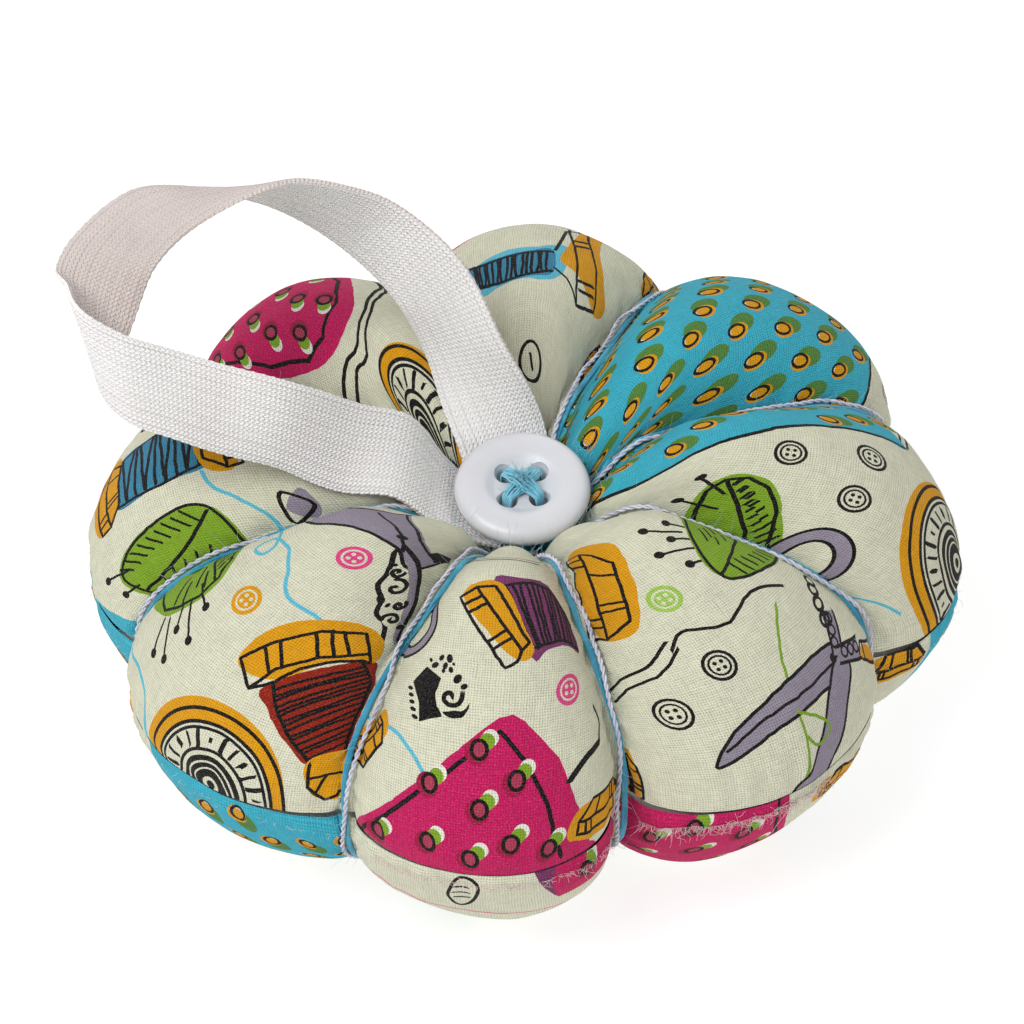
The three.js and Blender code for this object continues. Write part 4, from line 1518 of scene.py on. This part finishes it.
def lathe(name, section, sides):
    """A solid turned from a section that starts and ends on its axis."""
    points = []
    for r, z in section[1:-1]:
        for k in range(sides):
            angle = 2 * math.pi * k / sides
            points.append((r * math.cos(angle), r * math.sin(angle), z))
    rings = len(section) - 2
    faces = wall_faces(rings, sides)
    points += [(0, 0, section[0][1]), (0, 0, section[-1][1])]
    bottom, top = len(points) - 2, len(points) - 1
    start = (rings - 1) * sides
    for k in range(sides):
        faces.append((bottom, (k + 1) % sides, k))
        faces.append((top, start + k, start + (k + 1) % sides))
    return mesh_object(name, points, faces)


def hole_places():
    """The middles of the button's four holes."""
    r = HOLE_SPACING / math.sqrt(2)
    angles = [math.radians(HOLE_TURN + 90 * i) for i in range(4)]
    return [(r * math.cos(angle), r * math.sin(angle)) for angle in angles]


def onto_button(points):
    """Leans points with the button and sets them at its height."""
    points = np.asarray(points, dtype=float) - (0, 0, BUTTON_THICKNESS)
    c, s = math.cos(math.radians(BUTTON_TILT)), math.sin(math.radians(BUTTON_TILT))
    y, z = points[:, 1], points[:, 2]
    return np.stack([points[:, 0] + BUTTON_ASIDE, c * y - s * z, s * y + c * z + BUTTON_TOP_Z], -1) + TIE


def build_button():
    """A turned disc with four drilled holes, leant and set down at its place."""
    disc = lathe("disc", BUTTON_SECTION, BUTTON_SIDES)
    for x, y in hole_places():
        drill = lathe("drill", HOLE_SECTION, HOLE_SIDES)
        drill.location = Vector((x, y, 0)) * MM
        cut = disc.modifiers.new("hole", "BOOLEAN")
        cut.operation = "DIFFERENCE"
        cut.solver = "EXACT"
        cut.object = drill
        bpy.context.view_layer.update()
        made = bpy.data.meshes.new_from_object(disc.evaluated_get(bpy.context.evaluated_depsgraph_get()))
        disc.modifiers.clear()
        disc.data = made
        bpy.data.objects.remove(drill)
    points = [v.co / MM for v in disc.data.vertices]
    faces = [tuple(p.vertices) for p in disc.data.polygons]
    bpy.data.objects.remove(disc)
    flat = [point[:2] for point in points]
    obj = mesh_object("four_hole_button", onto_button(points), faces, [button_plastic()], uv=flat)
    obj.data.set_sharp_from_angle(angle=math.radians(BUTTON_CORNER))
    declare(obj, "button", "button", "top_button")


def button_plastic():
    n = Nodes("button_plastic")
    cloudy = n.noise(n.uv(), 0.5, 3.0)
    scuffs = n.noise(n.stretched(n.uv(), (6, 1.2, 1)), 1.0, 4.0, 0.7)
    return n.finish(
        n.dimmed(rgb(209, 210, 215), n.ranged(cloudy, 0.3, 0.7, 0.985, 1.01)),
        n.ranged(scuffs, 0.4, 0.75, 0.34, 0.46),
        scuffs,
        0.006,
        Coat_Weight=0.15,
        Coat_Roughness=0.25,
        Subsurface_Weight=0.15,
        Subsurface_Scale=0.002,
    )


STITCH_STRANDS = 15
STITCH_STRAND_RADIUS = 0.125
STITCH_SPREAD = 0.85
STITCH_LEVEL = 2.5
STITCH_DIVES_AT = 0.84
STITCH_FIBRES = 90


def build_stitches():
    """Two loose bundles of floss that cross over the button, each from a hole to the one across from it."""
    look = yarn("stitch_turquoise", rgb(150, 216, 234), rgb(96, 188, 218), 0.5)
    places = hole_places()
    share = np.linspace(-1, 1, 49)
    out = np.abs(share)
    reach = np.sign(share) * np.minimum(out * 1.2, 1.04)
    bulge = 0.62 + 0.5 * np.cos(share * math.pi / 2)
    dive = 12 * np.maximum(out - STITCH_DIVES_AT, 0)
    for number, height in ((0, 0.0), (1, 0.5)):
        x, y = places[number]
        across = np.array([-y, x, 0]) / math.hypot(x, y)
        level = STITCH_LEVEL + height * (1 - out) + 0.42 * (1 - out**2.4) - dive
        stitch = Bundle()
        for strand in range(STITCH_STRANDS):
            angle = 2.4 * strand
            spread = STITCH_SPREAD * math.sqrt((strand + 0.5) / STITCH_STRANDS)
            stray, lift = ([ripple(s * 2.4, strand * 4, number * 9 + k, 1) for s in share] for k in (0, 1))
            sideways = bulge * spread * math.cos(angle) + 0.22 * np.array(stray)
            rise = bulge * spread * 0.5 * math.sin(angle) + 0.14 * np.array(lift)
            spots = np.stack([x * reach, y * reach, level + rise], -1) + across * sideways[:, None]
            stitch.tube(onto_button(spots), STITCH_STRAND_RADIUS, 6)
        for k in range(STITCH_FIBRES):
            seed = 40 * number + 2.3 * k
            along = ripple(seed, 3, 3, 1.0) * 1.8
            start = np.array([x * along, y * along, STITCH_LEVEL + 0.5 + height * (1 - abs(along))])
            way = unit(np.array([ripple(seed, 5, k, 1.0), ripple(seed, 9, k, 1.0), 0.15]))
            stitch.tube(onto_button(curled(start, way, 1.3, seed)), FIBRE_RADIUS * 1.5, 3, 0.4)
        stitch.finish(f"stitch_strands_{number + 1}", "button", "floss", look, f"button_stitch_{number + 1}")


# ---- elastic band --------------------------------------------------------------------------------

BAND_WIDTH = 10
BAND_HALF_THICKNESS = 0.42
# Where the middle of the strap runs, and which way it runs across from its inner edge to its outer edge.
BAND_PATH = [
    ((0.4, 2.2, 27.9), (0.9, 0.44, 0)),
    ((-0.9, 6.2, 28.1), (0.9, 0.44, 0)),
    ((-2, 9.2, 31), (0.9, 0.3, 0.06)),
    ((-6, 13.8, 39.6), (0.83, -0.3, 0.45)),
    ((-9.9, 16.4, 46.9), (0.69, -0.14, 0.71)),
    ((-16, 18.4, 52.6), (0.56, -0.2, 0.81)),
    ((-21.7, 17.6, 56.9), (0.53, -0.4, 0.75)),
    ((-26.7, 16.1, 59.7), (0.55, -0.52, 0.65)),
    ((-32, 14, 61), (0.65, -0.64, 0.41)),
    ((-38.6, 11.5, 60.5), (0.69, -0.72, 0.04)),
    ((-43.7, 8.6, 57), (0.83, -0.54, -0.09)),
    ((-45.7, 5.7, 53.9), (0.86, -0.32, -0.39)),
    ((-46.1, 1.9, 52.7), (0.52, -0.23, -0.82)),
    ((-46, -1.9, 51.6), (0.25, -0.31, -0.92)),
    ((-42.3, -4.7, 50.1), (0.11, -0.47, -0.88)),
    ((-37.5, -4.7, 48), (0.06, -0.52, -0.85)),
    ((-32.3, -4.2, 45.5), (-0.03, -0.47, -0.88)),
    ((-25.8, -3.4, 42.7), (-0.11, -0.38, -0.92)),
    ((-18.4, -1.2, 37.6), (-0.2, -0.73, -0.65)),
    ((-12.8, 0.2, 35.2), (-0.17, -0.9, -0.4)),
    ((-8.6, 0.8, 29.8), (-0.1, -0.98, -0.12)),
    ((-5, 0.8, 26.8), (-0.05, -1, 0)),
    ((-2, 0.6, 26.2), (0, -1, 0)),
]
BAND_ROWS = 560
WALES = 20
WALE_RELIEF = 0.12
COURSE = 0.56
COURSE_RELIEF = 0.025
EDGE_THINNING = 0.55
PICOT = 0.04
WIDTH_SWAY = 0.012
PINHOLE_LINES = 7


def spline(points, shares):
    """A centripetal Catmull-Rom curve through points, at shares of its run of points."""
    points = np.asarray(points, dtype=float)
    ends = np.concatenate([2 * points[:1] - points[1:2], points, 2 * points[-1:] - points[-2:-1]])
    out = []
    for share in shares:
        place = share * (len(points) - 1)
        k = min(int(place), len(points) - 2)
        t = place - k
        p0, p1, p2, p3 = ends[k : k + 4]
        d0, d1, d2 = (math.sqrt(np.linalg.norm(b - a)) for a, b in ((p0, p1), (p1, p2), (p2, p3)))
        d0, d2 = (d if d > 1e-4 else max(d1, 1.0) for d in (d0, d2))
        d1 = d1 if d1 > 1e-4 else 1.0
        m1 = ((p1 - p0) / d0 - (p2 - p0) / (d0 + d1) + (p2 - p1) / d1) * d1
        m2 = ((p2 - p1) / d1 - (p3 - p1) / (d1 + d2) + (p3 - p2) / d2) * d1
        out.append(p1 + m1 * t + (3 * (p2 - p1) - 2 * m1 - m2) * t**2 + (2 * (p1 - p2) + m1 + m2) * t**3)
    return np.array(out)


def band_section():
    """The outline of the strap's section: places across it (-1 to 1), and the face each is on (-1 or 1)."""
    evenly = np.linspace(-1, 1, 4 * WALES + 1)
    run = mix(evenly, np.sin(evenly * math.pi / 2), 0.35)
    return np.concatenate([run, run[::-1]]), np.repeat([-1.0, 1.0], len(run))


def band_rings():
    """Points, normals and cloth coordinates of the whole strap, one ring after another."""
    shares = np.linspace(0, 1, BAND_ROWS)
    middle = spline([at for at, _ in BAND_PATH], shares)
    across = unit(spline([across for _, across in BAND_PATH], shares))
    along = unit(np.gradient(middle, axis=0))
    face = unit(np.cross(across, along))
    length = run_length(middle)
    u, v = band_section()
    rib = np.abs(np.cos(u * WALES * math.pi / 2))
    edge = np.abs(u) ** 14
    course = 2 * math.pi * length / COURSE
    knit = np.cos(course[:, None] + 1.1 * np.sin(u * WALES * math.pi)[None] * 2)
    thick = BAND_HALF_THICKNESS * (0.86 + WALE_RELIEF * rib)[None] + COURSE_RELIEF * knit * (1 - edge)
    thick = thick * (1 - EDGE_THINNING * edge)
    picot = PICOT * np.cos(course[:, None] * 0.5 + (u > 0) * 1.5) * edge
    wide = u * BAND_WIDTH / 2 * (1 + WIDTH_SWAY * np.sin(length / 9)[:, None]) + picot * np.sign(u)
    middle = middle[:, None] + TIE
    points = middle + across[:, None] * wide[..., None] + face[:, None] * (v * thick)[..., None]
    down = np.gradient(points, axis=0)
    round_it = np.roll(points, -1, 1) - np.roll(points, 1, 1)
    normals = unit(np.cross(round_it, down))
    if ((points - middle) * normals).sum() < 0:
        normals = -normals
    cloth = np.stack(np.meshgrid(u * BAND_WIDTH / 2, length), -1)
    return points, normals, cloth, length


# Each piece of the strap, where it starts and stops as a share of the path, and the bodies it follows.
BAND_PIECES = [
    ("band_end_1", 0, 0.0545, ("cushion",)),
    ("band_root_1", 0.0545, 0.16, ("cushion", "band")),
    ("band_leg_1", 0.16, 0.395, ("band", "band_bow")),
    ("band_bow", 0.395, 0.66, ("band_bow",)),
    ("band_leg_2", 0.66, 0.855, ("band_bow", "band")),
    ("band_root_2", 0.855, 0.945, ("band", "cushion")),
    ("band_end_2", 0.945, 1, ("cushion",)),
]
# Three sheets of the strap, each with the shorter pieces that carry it on.
BAND_SHEETS = {
    "band_leg_1": ("band_root_1", "band_end_1"),
    "band_bow": (),
    "band_leg_2": ("band_root_2", "band_end_2"),
}


def bend_between(first, last):
    """Two points on the line between a piece's end rings, each just past the whole of its end ring."""
    start, end = first.mean(0), last.mean(0)
    way = unit(end - start)
    return start + way * ((first - start) @ way).max(), end - way * ((end - last) @ way).max()


def build_band():
    points, normals, cloth, length = band_rings()
    # The inside face is a darker, pinker copy of the outside one: painted shade for the face that turns in
    # and down.
    looks = [
        knitted_elastic("elastic_inside_painted_shade", rgb(222, 209, 204), rgb(214, 200, 195)),
        knitted_elastic("elastic_outside", rgb(249, 247, 245), rgb(245, 241, 240)),
    ]
    outside = band_section()[1] > 0
    made = {}
    for name, start, end, bodies in BAND_PIECES:
        first, last = round(start * (BAND_ROWS - 1)), round(end * (BAND_ROWS - 1))
        part = points[first : last + 1]
        rows, columns = part.shape[:2]
        faces = wall_faces(rows, columns, inward=True)
        slots = np.tile(outside, rows - 1).astype(int).tolist() + [1, 1]
        faces.append(tuple(range(columns)))
        faces.append(tuple(range(rows * columns - 1, (rows - 1) * columns - 1, -1)))
        obj = mesh_object(
            f"{name}_strap",
            part.reshape(-1, 3),
            faces,
            looks,
            slots,
            uv=cloth[first : last + 1].reshape(-1, 2),
            normals=normals[first : last + 1].reshape(-1, 3),
        )
        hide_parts(name)
        if len(bodies) == 1:
            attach(obj, bodies[0])
        else:
            ends = bend_between(part[0], part[-1])
            if bodies in (("band_bow", "band"), ("band", "cushion")):
                bodies, ends = bodies[::-1], ends[::-1]
            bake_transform(obj)
        made[name] = (obj, (length[last] - length[first]) * MM)
    for name, others in BAND_SHEETS.items():
        obj, run = made[name]


def knitted_elastic(name, colour, second):
    """Knitted elastic: fine wales of slanting stitches, with a line of pinholes beside every third wale."""
    n = Nodes(name)
    u, v = n.split(n.uv())
    wale = n.times(u, WALES * math.pi / BAND_WIDTH)
    zigzag = n.math("ARCSINE", n.math("SINE", n.times(wale, 2.0)))
    stitch = n.math("SINE", n.times_plus(v, 2 * math.pi / COURSE, n.times(zigzag, 1.3)))
    rib = n.math("ABSOLUTE", n.math("COSINE", wale))
    groove = n.math("ABSOLUTE", n.math("SINE", n.times(u, PINHOLE_LINES * math.pi / BAND_WIDTH)))
    line = n.ranged(groove, 0.0, 0.22, 1.0, 0.0)
    dot = n.math("SINE", n.times_plus(v, 2 * math.pi / COURSE, n.times(u, 3.0)))
    hole = n.times(line, n.ranged(dot, 0.1, 0.7, 0.0, 1.0))
    patchy = n.ranged(n.noise(n.uv(), 0.3, 2.0), 0.4, 0.62, 0.35, 1.0)
    fibres = n.noise(n.stretched(n.uv(), (5, 2, 1)), 2.0, 3.0, 0.7)
    height = n.times_plus(stitch, 0.4, n.times(rib, 0.5))
    height = n.times_plus(line, -0.3, height)
    height = n.times_plus(fibres, 0.4, height)
    tone = n.times_plus(n.math("MINIMUM", height, 1.0), 0.07, 0.98)
    tone = n.times_plus(line, -0.05, tone)
    tone = n.math("SUBTRACT", tone, n.times(n.times(hole, patchy), 0.34))
    drift = n.noise(n.uv(), 0.16)
    colour = n.blend(n.ranged(drift, 0.35, 0.65, 0.0, 1.0), colour, second)
    return n.finish(
        n.dimmed(colour, tone),
        n.ranged(fibres, 0.3, 0.7, 0.7, 0.9),
        height,
        0.13,
        Sheen_Weight=0.4,
        Sheen_Roughness=0.6,
        Specular_IOR_Level=0.2,
    )


# ---- floor, light and camera ---------------------------------------------------------------------

FLOOR_HALF = 900
FLOOR_Z = -0.05
# Place in metres, size and power of each lamp.
LAMPS = {
    "key": ((-0.5, -0.45, 0.9), 0.6, 8.6),
    "fill": ((0.7, -0.5, 0.6), 0.8, 1.6),
    "back": ((0.1, 0.8, 0.7), 0.8, 2.5),
}
WALL_LIGHT = 0.36


def build_stage():
    corners = [(x * FLOOR_HALF, y * FLOOR_HALF, FLOOR_Z) for x, y in ((-1, -1), (1, -1), (1, 1), (-1, 1))]
    floor = mesh_object("floor", corners, [(0, 1, 2, 3)], [pale_floor()])
    bpy.context.scene.world = pale_studio()
    for name, (place, size, power) in LAMPS.items():
        light = bpy.data.lights.new(name, "AREA")
        light.size = size
        light.energy = power
        lamp = link(bpy.data.objects.new(name, light))
        lamp.location = place
        lamp.rotation_euler = (-Vector(place)).to_track_quat("-Z", "Y").to_euler()


def pale_studio():
    """White walls in the camera's sight that light the object only a little."""
    world = bpy.data.worlds.new("studio")
    world.use_nodes = True
    tree = world.node_tree
    walls = tree.nodes["Background"]
    walls.inputs[0].default_value = (1, 1, 1, 1)
    strength = tree.nodes.new("ShaderNodeMapRange")
    strength.inputs[3].default_value = WALL_LIGHT
    tree.links.new(tree.nodes.new("ShaderNodeLightPath").outputs["Is Camera Ray"], strength.inputs[0])
    tree.links.new(strength.outputs[0], walls.inputs[1])
    return world


def pale_floor():
    n = Nodes("floor_white")
    n.shader.inputs["Emission Color"].default_value = (1, 1, 1, 1)
    return n.finish(rgb(150, 150, 150), 0.9, Emission_Strength=0.8)


CAMERA_ELEVATION = 39.9
CAMERA_DISTANCE = 700
CAMERA_TARGET = (0.6, -2.14, 24)
FOCAL_LENGTH = 222.7
SENSOR_WIDTH = 36
SIGHT_METRES = 10
SHIFT = (-0.0066, 0.0239)


def build_camera():
    data = bpy.data.cameras.new("camera")
    data.lens = FOCAL_LENGTH
    data.sensor_width = SENSOR_WIDTH
    data.shift_x, data.shift_y = SHIFT
    data.clip_end = SIGHT_METRES
    camera = link(bpy.data.objects.new("camera", data))
    tilt = math.radians(CAMERA_ELEVATION)
    back = Vector((0, -math.cos(tilt), math.sin(tilt)))
    camera.location = (Vector(CAMERA_TARGET) + back * CAMERA_DISTANCE) * MM
    camera.rotation_euler = back.to_track_quat("Z", "Y").to_euler()
    bpy.context.scene.camera = camera


build_camera()
build_covers()
build_filling()
build_wraps()
build_fray()
build_tie()
build_button()
build_stitches()
build_band()
build_stage()
bpy.context.scene.view_settings.view_transform = "Standard"
